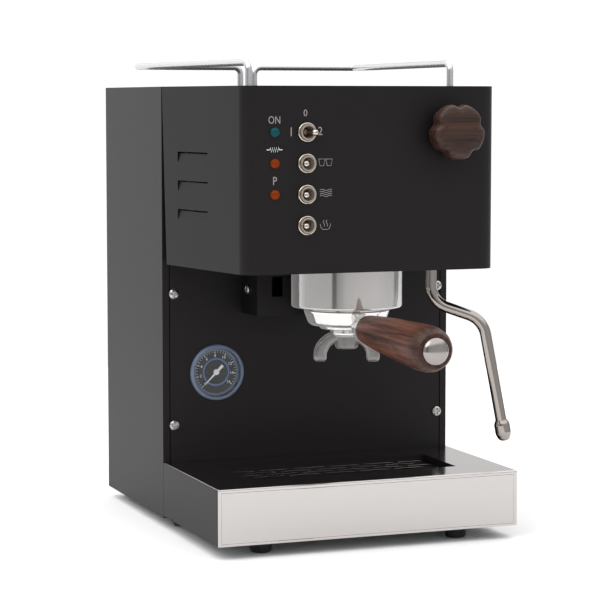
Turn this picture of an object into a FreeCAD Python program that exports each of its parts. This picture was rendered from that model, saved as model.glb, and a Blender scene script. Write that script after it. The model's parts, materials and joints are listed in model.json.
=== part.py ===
import FreeCAD, Part
import math
import os
import re
import Sketcher
from FreeCAD import Placement, Rotation, Vector

# A compact domestic espresso machine: a folded steel casing with a cantilevered head, a group with a
# lever-handled filter holder, a steam wand, a boiler gauge and a pull-out drip tray.
# +Z is up, the front faces -Y and +X is on the user's right. The origin is on the surface that the
# machine stands on, under the middle of its bounding box. All sizes are in millimetres.

DOC = FreeCAD.newDocument("espresso_machine")

# ---------------------------------------------------------------------------- driving sizes

SIZES = {
    # casing
    "body_width": 248.0, "body_depth": 160.0, "body_height": 344.7, "casing_foot": 8.5,
    "wall": 1.2, "fit_gap": 0.3, "front_return": 5.5, "panel_seam": 0.8,
    "base_wall": 1.5, "base_lip": 16.0, "tongue_inset": 6.0, "flange_width": 16.0, "rear_flange": 9.0,
    "foot_height": 10.0, "foot_radius": 9.0, "foot_inset": 14.0,
    # head
    "head_height": 140.1, "bell_margin": 9.9, "head_taper": 22.6, "head_corner": 14.0,
    "seam_top": 1.0, "seam_foot": 8.0,
    "louvre_length": 52.0, "louvre_height": 9.0, "louvre_depth": 4.0, "louvre_slot": 2.4,
    "louvre_pitch": 22.3, "louvre_drop": 50.5, "louvre_start": 26.5,
    # group bracket and group
    "bracket_width": 114.0, "bracket_gap": 3.9, "bracket_drop": 41.1, "bracket_wall": 2.0,
    "notch_width": 9.0, "notch_height": 15.5, "notch_inset": 12.5, "notch_lift": 15.5,
    "support_lift": 7.4,
    "group_forward": 84.0, "bell_radius": 43.1, "bell_drop": 29.0, "bell_wall": 1.8, "bell_edge": 4.0,
    "flange_height": 4.0, "groove_height": 6.5, "gasket_height": 8.0, "gasket_wall": 8.0,
    "neck_radius": 27.0, "screen_height": 2.0,
    # filter holder
    "holder_radius": 31.7, "holder_drop": 13.0, "holder_wall": 2.2, "holder_floor": 3.0,
    "basket_depth": 19.0, "basket_wall": 0.6, "rim_height": 1.8,
    "lug_reach": 2.6, "lug_width": 18.0, "lug_height": 4.0, "lock_angle": 50.0,
    "boss_radius": 12.5, "boss_height": 6.5,
    "spout_width": 51.5, "spout_leg": 10.2, "spout_depth": 13.0, "hub_radius": 9.2,
    "hub_height": 15.0, "spout_height": 25.0, "spout_turn": -21.0,
    "handle_start": 43.5, "handle_length": 124.0, "handle_radius": 17.0, "handle_neck": 9.5,
    "handle_tilt": 1.6, "cap_radius": 10.2, "cap_rise": 5.5,
    # boiler
    "boiler_radius": 38.0, "boiler_wall": 3.0, "boiler_headroom": 30.0, "boiler_flange": 46.0,
    "cover_height": 6.0, "flange_bolt": 2.5, "element_radius": 3.5,
    # steam side
    "wand_gap": 19.7, "wand_forward": 19.7, "wand_radius": 4.4, "wand_bore": 3.0, "wand_heading": 64.6,
    "wand_drop": 35.8, "wand_reach": 41.0, "wand_dip": 13.9, "wand_clear": 23.1159, "wand_lean": 10.5,
    "tip_radius": 6.2, "tip_length": 16.5, "swivel_gap": 0.06,
    "knob_radius": 21.0, "knob_depth": 20.5, "knob_gap": 2.5, "knob_drop": 34.5, "knob_notch": 3.4,
    "knob_lobes": 5, "spindle_radius": 4.0, "valve_radius": 9.0, "valve_length": 45.0,
    # controls on the head
    "switch_inset": 47.6, "switch_pitch": 23.1, "switch_drop": 34.4, "switch_nut": 7.45,
    "bush_radius": 5.9, "bush_reach": 4.5, "lever_length": 12.5, "lever_ball": 2.5,
    "lever_throw": 16.4, "pivot_depth": 3.0,
    "lamp_inset": 22.4, "lamp_radius": 3.6, "lamp_rise": 2.6,
    # gauge
    "gauge_inset": 39.2, "gauge_share": 0.596952, "gauge_radius": 22.6, "gauge_rim": 1.5,
    "gauge_depth": 27.0, "gauge_rise": 3.0, "needle_length": 13.0,
    # drip tray
    "tray_reach": 135.3, "tray_top": 53.9, "tray_foot": 10.4, "tray_margin": 37.0,
    "tray_back_margin": 38.0, "tray_front_margin": 34.3, "recess_depth": 4.0, "grate_wall": 1.5,
    "ledge_width": 5.0, "slot_length": 26.0, "slot_width": 5.5, "slot_bridge": 4.0, "slot_bar": 4.0,
    # rails
    "rail_radius": 2.7, "rail_rise": 17.8, "rail_rear_inset": 23.0, "rail_front_inset": 40.4,
    "rail_front_leg": 92.0, "rail_back_inset": 13.0, "rail_middle": 6.4, "rail_bend": 6.0,
    "nut_radius": 5.0, "nut_height": 4.0,
    # tank and lid
    "tank_front": 16.0, "tank_wall": 2.5, "tank_clear": 6.0, "lid_margin": 3.0, "shelf_height": 150.0,
    "spigot_radius": 8.0, "spigot_length": 9.0, "seat_wall": 4.0,
    # pump, valve and pipes
    "pump_length": 92.0, "pump_radius": 11.0, "coil_size": 44.0, "mount_height": 8.0,
    "pipe_radius": 3.0, "hose_radius": 4.0, "pipe_bend": 9.0, "valve_block": 22.0,
    # fasteners and inlet
    "screw_radius": 4.0, "screw_rise": 2.2, "screw_shank": 2.0, "screw_length": 8.0,
    "screw_inset": 9.0, "screw_shift": 0.4, "screw_drop": 24.3, "screw_low": 83.2,
    "inlet_width": 27.5, "inlet_height": 20.0, "inlet_depth": 22.0, "inlet_rise": 2.0, "inlet_lift": 40.0,
}


def worked_out(size):
    """Places that follow from the driving sizes."""
    place = {}
    place["half_width"] = size["body_width"] / 2
    place["head_reach"] = size["group_forward"] + size["bell_radius"] + size["bell_margin"]
    place["bracket_depth"] = size["group_forward"] - size["bell_radius"] - size["bracket_gap"]
    reach_forward = size["group_forward"] + size["handle_start"] + size["handle_length"] + size["cap_rise"]
    place["panel_y"] = (reach_forward - size["body_depth"] - size["screw_rise"]) / 2
    place["back_y"] = place["panel_y"] + size["body_depth"]
    place["head_y"] = place["panel_y"] - place["head_reach"]
    place["tray_y"] = place["panel_y"] - size["tray_reach"]
    place["group_y"] = place["panel_y"] - size["group_forward"]
    place["case_top"] = size["casing_foot"] + size["body_height"]
    place["head_foot"] = place["case_top"] - size["head_height"]
    place["bracket_foot"] = place["head_foot"] - size["bracket_drop"]
    clear_height = place["bracket_foot"] - size["tray_top"]
    place["gauge_height"] = size["tray_top"] + size["gauge_share"] * clear_height
    place["screw_high"] = place["head_foot"] - size["screw_drop"]
    place["support_z"] = place["head_foot"] + size["support_lift"]
    place["bell_foot"] = place["head_foot"] - size["bell_drop"]
    place["lock_z"] = place["bell_foot"] + size["bell_wall"] + 0.6
    place["groove_z"] = place["lock_z"] + size["flange_height"]
    place["seat_z"] = place["groove_z"] + size["groove_height"]
    place["holder_foot"] = place["bell_foot"] - size["holder_drop"]
    place["spout_top"] = place["holder_foot"] - size["boss_height"]
    place["spout_foot"] = place["spout_top"] - size["spout_height"]
    place["knob_x"] = size["bell_radius"] + size["wand_gap"]
    place["knob_z"] = place["case_top"] - size["knob_drop"]
    place["wand_y"] = place["group_y"] - size["wand_forward"]
    place["wand_knee"] = place["head_foot"] - size["wand_drop"] + 8.5 - size["wand_dip"]
    wand_run = place["wand_knee"] - size["tray_top"] - size["wand_clear"]
    place["wand_leg"] = wand_run / math.cos(math.radians(size["wand_lean"])) - size["tip_length"]
    place["front_half"] = place["half_width"] - size["head_taper"]
    place["side_slope"] = size["head_taper"] / place["head_reach"]
    place["switch_x"] = size["switch_inset"] - place["front_half"]
    place["lamp_x"] = size["lamp_inset"] - place["front_half"]
    place["switch_z"] = place["case_top"] - size["switch_drop"]
    panel_half = place["half_width"] - size["front_return"] - size["panel_seam"]
    place["panel_half"] = panel_half
    place["gauge_x"] = size["gauge_inset"] - panel_half
    place["cover_top"] = place["case_top"] - size["boiler_headroom"]
    place["flange_z"] = place["cover_top"] - size["cover_height"]
    place["rail_z"] = place["case_top"] + size["rail_rise"]
    place["rail_back_y"] = place["back_y"] - size["rail_back_inset"]
    place["rail_rear_x"] = place["half_width"] - size["rail_rear_inset"]
    place["rail_front_x"] = place["half_width"] - size["rail_front_inset"]
    place["rail_front_y"] = place["panel_y"] - size["rail_front_leg"]
    place["lid_half"] = place["rail_front_x"] - size["lid_margin"]
    place["tank_half"] = place["lid_half"] - size["tank_clear"]
    place["tank_y"] = place["panel_y"] + size["tank_front"]
    place["tank_back"] = place["rail_back_y"] - size["nut_radius"] - 3 * size["tank_clear"]
    place["base_top"] = size["foot_height"] + size["base_wall"]
    place["pump_z"] = place["base_top"] + size["mount_height"] + size["coil_size"] / 2
    place["pump_y"] = place["panel_y"] + size["body_depth"] / 2
    place["pipe_x"] = place["tank_half"] + 17
    place["pump_x"] = place["pipe_x"] - 15.6 - size["pump_length"] / 2
    return place


SIZES.update(worked_out(SIZES))

SHEET = DOC.addObject("Spreadsheet::Sheet", "Sizes")
for row, (alias, value) in enumerate(SIZES.items(), start=1):
    SHEET.set(f"A{row}", alias)
    SHEET.set(f"B{row}", str(round(value, 6)))
    SHEET.setAlias(f"B{row}", alias)
DOC.recompute()

# ---------------------------------------------------------------------------- modelling helpers

TURNS = {
    "Z": Rotation(),
    "-Z": Rotation(Vector(1, 0, 0), 180),
    "Y": Rotation(Vector(1, 0, 0), -90),
    "-Y": Rotation(Vector(1, 0, 0), 90),
    "X": Rotation(Vector(0, 1, 0), 90),
    "-X": Rotation(Vector(0, 1, 0), -90),
}
NODES = []


def sized(expression):
    """Point every size that an expression names at its cell of the sheet."""
    def cell(word):
        return "Sizes." + word.group() if word.group() in SIZES else word.group()
    return re.sub(r"[a-z][a-z_]+", cell, str(expression))


def number(expression):
    """The value that an expression has now."""
    return float(SHEET.evalExpression(sized(expression)))


def point(x, y, z):
    return Vector(number(x), number(y), number(z))


def place(feature, x, y, z, along="Z"):
    """Bind a feature's place to the sheet, with its own Z axis turned along the given direction."""
    feature.Placement = Placement(Vector(), TURNS[along])
    for axis, expression in zip("xyz", (x, y, z)):
        feature.setExpression(".Placement.Base." + axis, sized(expression))


def bind(feature, **properties):
    for name, expression in properties.items():
        feature.setExpression(name, sized(expression))


def box(name, length, width, height, x, y, z):
    """A block with its lowest corner at x, y, z."""
    feature = DOC.addObject("Part::Box", name)
    bind(feature, Length=length, Width=width, Height=height)
    place(feature, x, y, z)
    return feature


def rod(name, radius, length, x, y, z, along="Z"):
    """A round bar that starts at x, y, z."""
    feature = DOC.addObject("Part::Cylinder", name)
    bind(feature, Radius=radius, Height=length)
    place(feature, x, y, z, along)
    return feature


def joined(name, *pieces):
    feature = DOC.addObject("Part::MultiFuse", name)
    feature.Shapes = list(pieces)
    feature.Refine = True
    return feature


def cut(name, base, *tools):
    """The base less its tools."""
    feature = DOC.addObject("Part::Cut", name)
    feature.Base = base
    feature.Tool = tools[0] if len(tools) == 1 else joined(name + "_tools", *tools)
    return feature


def polygon(body, name, role, points):
    """A closed outline on one of the body's own planes, every corner driven by the sheet."""
    sketch = body.newObject("Sketcher::SketchObject", name)
    planes = [item for item in body.Origin.OriginFeatures if item.Role == role]
    sketch.AttachmentSupport = (planes[0], [""])
    sketch.MapMode = "FlatFace"
    corners = [Vector(number(x), number(y), 0) for x, y in points]
    count = len(corners)
    for index in range(count):
        sketch.addGeometry(Part.LineSegment(corners[index], corners[(index + 1) % count]), False)
    for index in range(count):
        sketch.addConstraint(Sketcher.Constraint("Coincident", index, 2, (index + 1) % count, 1))
    for index, (x, y) in enumerate(points):
        for kind, axis, expression in (("DistanceX", -2, x), ("DistanceY", -1, y)):
            if expression == "0":
                sketch.addConstraint(Sketcher.Constraint("PointOnObject", index, 1, axis))
                continue
            value = number(expression)
            made = sketch.addConstraint(Sketcher.Constraint(kind, -1, 1, index, 1, value))
            label = kind[-1].lower() + str(index)
            sketch.renameConstraint(made, label)
            sketch.setExpression("Constraints." + label, sized(expression))
    return sketch


def padded(name, role, points, length, x, y, z, along="Z"):
    """A body padded from an outline."""
    body = DOC.addObject("PartDesign::Body", name)
    pad = body.newObject("PartDesign::Pad", name + "_pad")
    pad.Profile = polygon(body, name + "_outline", role, points)
    bind(pad, Length=length)
    body.Tip = pad
    place(body, x, y, z, along)
    return body


def revolved(name, points, x, y, z, along="Z"):
    """A body turned about its own Z axis from an outline of radius and height."""
    body = DOC.addObject("PartDesign::Body", name)
    turn = body.newObject("PartDesign::Revolution", name + "_turn")
    sketch = polygon(body, name + "_outline", "XZ_Plane", points)
    turn.Profile = sketch
    turn.ReferenceAxis = (sketch, ["V_Axis"])
    turn.Angle = 360
    body.Tip = turn
    place(body, x, y, z, along)
    return body


def rounded(body, name, radius, chosen):
    """Round the edges of a body's last feature whose middles the test accepts, in the body's own frame."""
    DOC.recompute()
    last = body.Tip
    names = []
    for index, edge in enumerate(last.Shape.Edges, start=1):
        if chosen(edge):
            names.append(f"Edge{index}")
    fillet = body.newObject("PartDesign::Fillet", name)
    fillet.Base = (last, names)
    bind(fillet, Radius=radius)
    body.Tip = fillet
    return body


def part(name, *pieces):
    """Name a finished piece, or a group of like ones; its label is its file's name."""
    feature = pieces[0]
    if len(pieces) > 1:
        feature = DOC.addObject("Part::Compound", name + "_group")
        feature.Links = list(pieces)
    feature.Label = name
    NODES.append(feature)
    return feature


def plain(name, shape):
    """A feature that holds a shape made directly."""
    feature = DOC.addObject("Part::Feature", name)
    feature.Shape = shape
    return feature


def shaped(name, *shapes):
    """A piece, or a group of like pieces, whose shape is made directly."""
    return part(name, plain(name + "_piece", shapes[0] if len(shapes) == 1 else Part.makeCompound(shapes)))


def upright(edge):
    """True for a straight edge along Z."""
    ends = [vertex.Point for vertex in edge.Vertexes]
    return len(ends) == 2 and abs(ends[0].x - ends[1].x) + abs(ends[0].y - ends[1].y) < 1e-6


def bent_path(points, bends):
    """Straight runs joined by tangent arcs, as a wire."""
    edges = []
    start = points[0]
    for corner, after, bend in zip(points[1:-1], points[2:], bends):
        inward = (start - corner).normalize()
        outward = (after - corner).normalize()
        half_turn = (math.pi - inward.getAngle(outward)) / 2
        run = bend * math.tan(half_turn)
        middle = (inward + outward).normalize()
        centre = corner + middle * (bend / math.cos(half_turn))
        first = corner + inward * run
        second = corner + outward * run
        edges.append(Part.LineSegment(start, first).toShape())
        edges.append(Part.Arc(first, centre - middle * bend, second).toShape())
        start = second
    edges.append(Part.LineSegment(start, points[-1]).toShape())
    return Part.Wire(edges)


def tube(points, bends, radius, bore=0.0):
    """A bent tube or rod along straight runs and arcs."""
    path = bent_path(points, bends)
    heading = points[1] - points[0]

    def sweep(section):
        ring = Part.Wire([Part.Circle(points[0], heading, section).toShape()])
        return path.makePipeShell([ring], True, False)
    solid = sweep(radius)
    if bore > 0:
        solid = solid.cut(sweep(bore))
    return solid


def turned_piece(outline, start, direction):
    """A solid turned about a line, from an outline of radius and distance along it."""
    corners = [Vector(radius, 0, along) for radius, along in outline]
    face = Part.Face(Part.makePolygon(corners + corners[:1]))
    solid = face.revolve(Vector(), Vector(0, 0, 1), 360)
    solid.Placement = Placement(start, Rotation(Vector(0, 0, 1), direction))
    return solid


def screw_shape(start, direction):
    """A pan-head screw with a cross recess; start is under its head, and the head faces direction."""
    head = number("screw_radius")
    rise = number("screw_rise")
    shank = number("screw_shank")
    length = number("screw_length")
    steps = [(math.cos(math.radians(a)), math.sin(math.radians(a))) for a in (20, 42, 64)]
    dome = [(head * across, 0.25 * rise + 0.75 * rise * up) for across, up in steps]
    outline = [(0, -length), (shank, -length), (shank, 0), (head, 0), (head, 0.4 * rise)]
    outline += dome + [(0, rise)]
    screw = turned_piece(outline, Vector(), Vector(0, 0, 1))
    for turn in (0, 90):
        bar = Part.makeBox(1.1, head, rise, Vector(-0.55, -head / 2, 0.5 * rise))
        bar.rotate(Vector(), Vector(0, 0, 1), turn)
        screw = screw.cut(bar)
    screw.Placement = Placement(start, Rotation(Vector(0, 0, 1), direction))
    return screw


# ---------------------------------------------------------------------------- casing

def feet_places():
    """Centres of the rubber feet: a pair under the tray, one behind it and one at the back."""
    side = number("half_width - foot_inset - foot_radius")
    tray_side = number("half_width - tray_margin - foot_radius / 2 - 1")
    rows = (
        (tray_side, number("panel_y - tray_reach + 23.3")),
        (side + 3.5, number("panel_y + foot_radius")),
        (side, number("back_y - foot_inset - foot_radius")),
    )
    return [Vector(sign * x, y, 0) for x, y in rows for sign in (-1, 1)]


def make_base():
    """The base plate, turned up along its sides, with the tongue that the drip tray slides over."""
    rear = box("base_rear", "2 * (half_width - wall - fit_gap)", "body_depth - 2 * wall - 2 * fit_gap",
               "base_wall", "fit_gap + wall - half_width", "panel_y + wall + fit_gap", "foot_height")
    lips = []
    for name, x in (("base_lip_left", "fit_gap + wall - half_width"),
                    ("base_lip_right", "half_width - wall - fit_gap - base_wall")):
        lips.append(box(name, "base_wall", "body_depth - 2 * wall - 2 * fit_gap", "base_lip", x,
                        "panel_y + wall + fit_gap", "foot_height"))
    tongue = box("base_tongue", "2 * (half_width - tongue_inset)", "tray_reach - 4", "base_wall",
                 "tongue_inset - half_width", "tray_y + 7", "foot_height")
    part("base_plate", joined("base_joined", rear, tongue, *lips))


def make_feet():
    """Tapered rubber feet."""
    foot = number("foot_radius")
    height = number("foot_height")
    outline = [(0, 0), (foot - 2, 0), (foot - 1, 1), (foot, height), (0, height)]
    shapes = [turned_piece(outline, centre, Vector(0, 0, 1)) for centre in feet_places()]
    shaped("rubber_feet", *shapes)


def make_side_panels():
    """Each side of the casing: a sheet with the narrow return that frames the front panel, flanges
    behind the front and back panels for their screws, and a tab inside the head that closes its seam."""
    above_base = "(foot_height + base_lip + 1)"
    for name, sign in (("side_panel_left", -1), ("side_panel_right", 1)):
        def inboard(width):
            """The lowest x of a strip that runs inboard from the panel's outer face."""
            return "-half_width" if sign < 0 else f"half_width - {width}"
        tab_x = "front_return - wall - half_width" if sign < 0 else "half_width - front_return"
        pieces = [
            box(name + "_sheet", "wall", "body_depth", "body_height", inboard("wall"), "panel_y",
                "casing_foot"),
            box(name + "_front", "front_return", "wall", "body_height - wall - fit_gap",
                inboard("front_return"), "panel_y", "casing_foot"),
            box(name + "_flange", "flange_width", "wall", f"head_foot - {above_base}",
                inboard("flange_width"), "panel_y + wall + fit_gap", above_base),
            box(name + "_rear", "rear_flange", "wall", f"case_top - 6 - {above_base}",
                inboard("rear_flange"), "back_y - 2 * wall - fit_gap", above_base),
            box(name + "_tab", "wall", "seam_foot + 6", "head_height - 2 * wall - 2 * fit_gap",
                tab_x, "panel_y - seam_foot - 6", "head_foot + wall + fit_gap"),
        ]
        holes = []
        for index, (x, z) in enumerate(front_screws() + back_screws()):
            holes.append(rod(f"{name}_hole_{index}", "screw_shank", "10", x,
                             "panel_y + 6" if index < 4 else "back_y + 5", z, "-Y"))
        part(name, cut(name + "_cut", joined(name + "_joined", *pieces), *holes))


def make_back_panel():
    """The flat back with two banks of vent slots and the opening for the mains inlet."""
    panel = box("back_sheet", "2 * (half_width - wall - fit_gap)", "wall",
                "body_height - wall - fit_gap", "wall + fit_gap - half_width", "back_y - wall",
                "casing_foot")
    tools = [box("back_inlet_hole", "inlet_width", "10", "inlet_height", "-inlet_width / 2 - 60",
                 "back_y - 5", "casing_foot + inlet_lift")]
    for bank, x in enumerate(("-80", "20")):
        for step in range(6):
            tools.append(box(f"back_slot_{bank}_{step}", "60", "10", "3.5", x, "back_y - 5",
                             f"case_top - 60 - {step} * 9"))
    for index, centre in enumerate(back_screws()):
        tools.append(rod(f"back_hole_{index}", "screw_shank", "10", centre[0], "back_y + 5", centre[1],
                         "-Y"))
    part("back_panel", cut("back_cut", panel, *tools))


def back_screws():
    """Where the back's screws sit, as expressions for x and z."""
    across = "(half_width - 6)"
    return [(f"{sign} * {across}", height) for sign in ("-1", "1")
            for height in ("casing_foot + 30", "case_top - 26")]


def make_top_panel():
    """The cup-warming top: a plate that follows the head's plan, open over the tank, with rail holes."""
    edge = "(wall + fit_gap)"
    outline = [
        (f"{edge} - half_width", f"body_depth - {edge}"),
        (f"{edge} - half_width", "0"),
        (f"1.03 * {edge} - front_half", f"{edge} - head_reach"),
        (f"front_half - 1.03 * {edge}", f"{edge} - head_reach"),
        (f"half_width - {edge}", "0"),
        (f"half_width - {edge}", f"body_depth - {edge}"),
    ]
    plate = padded("top_plate", "XY_Plane", outline, "wall", "0", "panel_y", "case_top - wall")
    front = number("wall + fit_gap - head_reach")
    rounded(plate, "top_corners", "head_corner - wall - fit_gap",
            lambda edge_: upright(edge_) and abs(edge_.CenterOfMass.y - front) < 0.01)
    ledge = box("lid_ledge", "2 * lid_half + 10", "tank_back - tank_y + 2 * tank_clear + 10",
                "wall", "-lid_half - 5", "tank_y - tank_clear - 5", "case_top - 2 * wall")
    lid_space = box("lid_space", "2 * lid_half + 2 * fit_gap",
                    "tank_back - tank_y + 2 * tank_clear + 2 * fit_gap", "10",
                    "-lid_half - fit_gap", "tank_y - tank_clear - fit_gap", "case_top - wall - fit_gap")
    shaft = box("tank_shaft", "2 * tank_half + 4", "tank_back - tank_y + 4", "20",
                "-tank_half - 2", "tank_y - 2", "case_top - 10")
    holes = []
    for index, (x, y) in enumerate(rail_legs()):
        holes.append(rod(f"rail_hole_{index}", "rail_radius + 0.1", "10", x, y, "case_top - 5"))
    part("top_panel", cut("top_cut", joined("top_joined", plate, ledge), lid_space, shaft, *holes))


def rail_legs():
    """Where the rails' four legs stand."""
    return [(f"{sign} * {x}", y) for sign in ("-1", "1")
            for x, y in (("rail_front_x", "rail_front_y"), ("rail_middle", "rail_back_y"))]


def front_screws():
    """Where the front panel's four screws sit."""
    return [(f"screw_shift + {sign} * (half_width - screw_inset)", height) for sign in ("-1", "1")
            for height in ("screw_high", "screw_low")]


def make_front_panel():
    """The flat panel between the side returns, with its gauge hole."""
    sheet = box("front_sheet", "2 * panel_half", "wall", "head_foot + 25 - base_top - fit_gap",
                "-panel_half", "panel_y", "base_top + fit_gap")
    tools = [rod("gauge_hole", "gauge_radius - gauge_rim", "10", "gauge_x", "panel_y + 5",
                 "gauge_height", "-Y")]
    for index, (x, z) in enumerate(front_screws()):
        tools.append(rod(f"front_hole_{index}", "screw_shank", "10", x, "panel_y + 5", z, "-Y"))
    part("front_panel", cut("front_cut", sheet, *tools))


def louvre(name, side, drop):
    """The tools and the pressed blade of one louvre, on the left side or mirrored on the right."""
    start = number("-louvre_start")
    slope = number("side_slope")
    turn = -side * math.degrees(math.atan(slope))
    length = number("louvre_length")
    height = number("louvre_height")
    depth = number("louvre_depth")
    wall = number("wall")
    slot = number("louvre_slot")
    window = Part.makeBox(12, length, height, Vector(-6, -length, 0))
    rise = height - slot + wall
    blade = Part.makePolygon([
        Vector(0, 0, 0), Vector(wall, 0, 0), Vector(depth + wall, 0, rise), Vector(depth, 0, rise),
        Vector(0, 0, 0)])
    blade = Part.Face(blade).extrude(Vector(0, -length, 0))
    cheek = Part.Face(Part.makePolygon([
        Vector(0, 0, 0), Vector(wall, 0, 0), Vector(depth + wall, 0, rise), Vector(wall, 0, height),
        Vector(0, 0, height), Vector(0, 0, 0)]))
    ends = [cheek.extrude(Vector(0, -wall, 0))]
    far = cheek.copy()
    far.translate(Vector(0, wall - length, 0))
    ends.append(far.extrude(Vector(0, -wall, 0)))
    pressed = blade.fuse(ends)
    shapes = []
    for shape in (window, pressed):
        if side > 0:
            shape = shape.mirror(Vector(), Vector(1, 0, 0))
        shape.rotate(Vector(), Vector(0, 0, 1), turn)
        x = side * (number("half_width") + slope * start)
        shape.translate(Vector(x, number("panel_y") + start, number("case_top") - drop - height))
        shapes.append(shape)
    return plain(name + "_window", shapes[0]), plain(name + "_blade", shapes[1])


def make_head_cover():
    """The head's folded front and sides: tapered in plan, with rounded front corners and louvres."""
    slant = "wall * sqrt(1 + side_slope ^ 2)"
    outer = [("-half_width", "0"), ("-front_half", "-head_reach"), ("front_half", "-head_reach"),
             ("half_width", "0")]
    inner = [(f"{slant} - half_width - side_slope * 2", "2"),
             (f"{slant} + wall * side_slope - front_half", "wall - head_reach"),
             (f"front_half - {slant} - wall * side_slope", "wall - head_reach"),
             (f"half_width - {slant} + side_slope * 2", "2")]
    shell = padded("head_outer", "XY_Plane", outer, "head_height", "0", "panel_y", "head_foot")
    front = number("-head_reach")
    rounded(shell, "head_corners", "head_corner",
            lambda edge: upright(edge) and abs(edge.CenterOfMass.y - front) < 0.01)
    hollow = padded("head_hollow", "XY_Plane", inner, "head_height + 2", "0", "panel_y",
                    "head_foot - 1")
    rounded(hollow, "head_inner_corners", "head_corner - wall",
            lambda edge: upright(edge) and abs(edge.CenterOfMass.y - front - number("wall")) < 0.01)
    seam = padded("head_seam", "YZ_Plane",
                  [("-seam_foot", "-1"), ("5", "-1"), ("5", "head_height + 1"),
                   ("-seam_top", "head_height + 1")],
                  "body_width + 4", "-half_width - 2", "panel_y", "head_foot")
    tools = [hollow, seam]
    for index in range(4):
        tools.append(rod(f"switch_hole_{index}", "bush_radius + 0.05", "10", "switch_x", "head_y + 5",
                         f"switch_z - {index} * switch_pitch", "-Y"))
    for index in range(3):
        tools.append(rod(f"lamp_hole_{index}", "lamp_radius + 0.05", "10", "lamp_x", "head_y + 5",
                         f"switch_z - {index} * switch_pitch", "-Y"))
    tools.append(rod("knob_hole", "spindle_radius + 2", "10", "knob_x", "head_y + 5", "knob_z", "-Y"))
    blades = []
    for side, label in ((-1, "left"), (1, "right")):
        for index in range(3):
            drop = number("louvre_drop + louvre_pitch * " + str(index))
            window, blade = louvre(f"louvre_{label}_{index}", side, drop)
            tools.append(window)
            blades.append(blade)
    part("head_cover", joined("head_joined", cut("head_cut", shell, *tools), *blades))


def make_head_floor():
    """The plate that closes the head from below, around the group bell and the wand."""
    edge = "(wall + fit_gap)"
    slope = "side_slope * seam_foot"
    outline = [
        (f"1.03 * {edge} + {slope} - half_width", "-seam_foot"),
        (f"1.03 * {edge} - front_half", f"{edge} - head_reach"),
        (f"front_half - 1.03 * {edge}", f"{edge} - head_reach"),
        (f"half_width - 1.03 * {edge} - {slope}", "-seam_foot"),
    ]
    plate = padded("floor_plate", "XY_Plane", outline, "wall", "0", "panel_y", "head_foot")
    front = number("wall + fit_gap - head_reach")
    rounded(plate, "floor_corners", "head_corner - wall - fit_gap",
            lambda edge_: upright(edge_) and abs(edge_.CenterOfMass.y - front) < 0.01)
    bell = rod("floor_bell_hole", "bell_radius + 0.4", "10", "0", "group_y", "head_foot - 5")
    wand = rod("floor_wand_hole", "wand_radius + 0.6", "10", "knob_x", "wand_y", "head_foot - 5")
    notch = box("floor_notch", "bracket_width + 1", "bracket_depth + 5", "10",
                "-bracket_width / 2 - 0.5", "panel_y - bracket_depth - 0.5", "head_foot - 5")
    part("head_floor", cut("floor_cut", plate, bell, wand, notch))


def rail_nut(x, y):
    """A hexagon nut on a rail's leg, under the top."""
    radius = number("nut_radius")
    angles = [math.radians(60 * step) for step in range(7)]
    corners = [Vector(radius * math.cos(angle), radius * math.sin(angle), 0) for angle in angles]
    nut = Part.Face(Part.makePolygon(corners)).extrude(Vector(0, 0, number("nut_height")))
    nut = nut.cut(Part.makeCylinder(number("rail_radius") + 0.02, 20, Vector(0, 0, -5)))
    nut.translate(point(x, y, "case_top - wall - nut_height - 0.05"))
    return nut


def make_casing_fasteners():
    """Pan-head screws of the front panel, the bracket and the back, and the rails' nuts."""
    shapes = [rail_nut(x, y) for x, y in rail_legs()]
    for x, z in front_screws():
        shapes.append(screw_shape(point(x, "panel_y", z), Vector(0, -1, 0)))
    for x, z in back_screws():
        shapes.append(screw_shape(point(x, "back_y", z), Vector(0, 1, 0)))
    for sign in (-1, 1):
        start = point(f"{sign} * bracket_width / 2", "panel_y - 15", "head_foot - 20.7")
        shapes.append(screw_shape(start, Vector(sign, 0, 0)))
    shaped("casing_fasteners", *shapes)


# ---------------------------------------------------------------------------- group

def make_bracket():
    """The box-section bracket that carries the group and boiler off the front panel."""
    foot = "bracket_foot"
    tall = "support_z - bracket_foot"
    front = box("bracket_front", "bracket_width", "bracket_wall", tall, "-bracket_width / 2",
                "panel_y - bracket_depth", foot)
    sides = []
    for name, x in (("bracket_left", "-bracket_width / 2"),
                    ("bracket_right", "bracket_width / 2 - bracket_wall")):
        sides.append(box(name, "bracket_wall", "bracket_depth - fit_gap", tall, x,
                         "panel_y - bracket_depth", foot))
    floor = box("bracket_floor", "bracket_width", "bracket_depth - fit_gap", "bracket_wall",
                "-bracket_width / 2", "panel_y - bracket_depth", foot)
    shelf = box("bracket_shelf", "2 * bell_radius + 4", "group_forward + bell_radius - fit_gap",
                "bracket_wall", "-bell_radius - 2", "group_y - bell_radius", "support_z")
    neck = rod("bracket_neck_hole", "neck_radius + 0.1", "20", "0", "group_y", "support_z - 10")
    notch = box("bracket_notch", "notch_width", "10", "notch_height", "notch_inset - bracket_width / 2",
                "panel_y - bracket_depth - 5", "bracket_foot + notch_lift")
    holes = []
    for sign in ("-1", "1"):
        name = "bracket_hole_" + ("left" if sign == "-1" else "right")
        holes.append(rod(name, "screw_shank", "10", f"{sign} * bracket_width / 2 - 5", "panel_y - 15",
                         "head_foot - 20.7", "X"))
    part("group_bracket", cut("bracket_cut", joined("bracket_joined", front, floor, shelf, *sides),
                              neck, notch, *holes))


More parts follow.
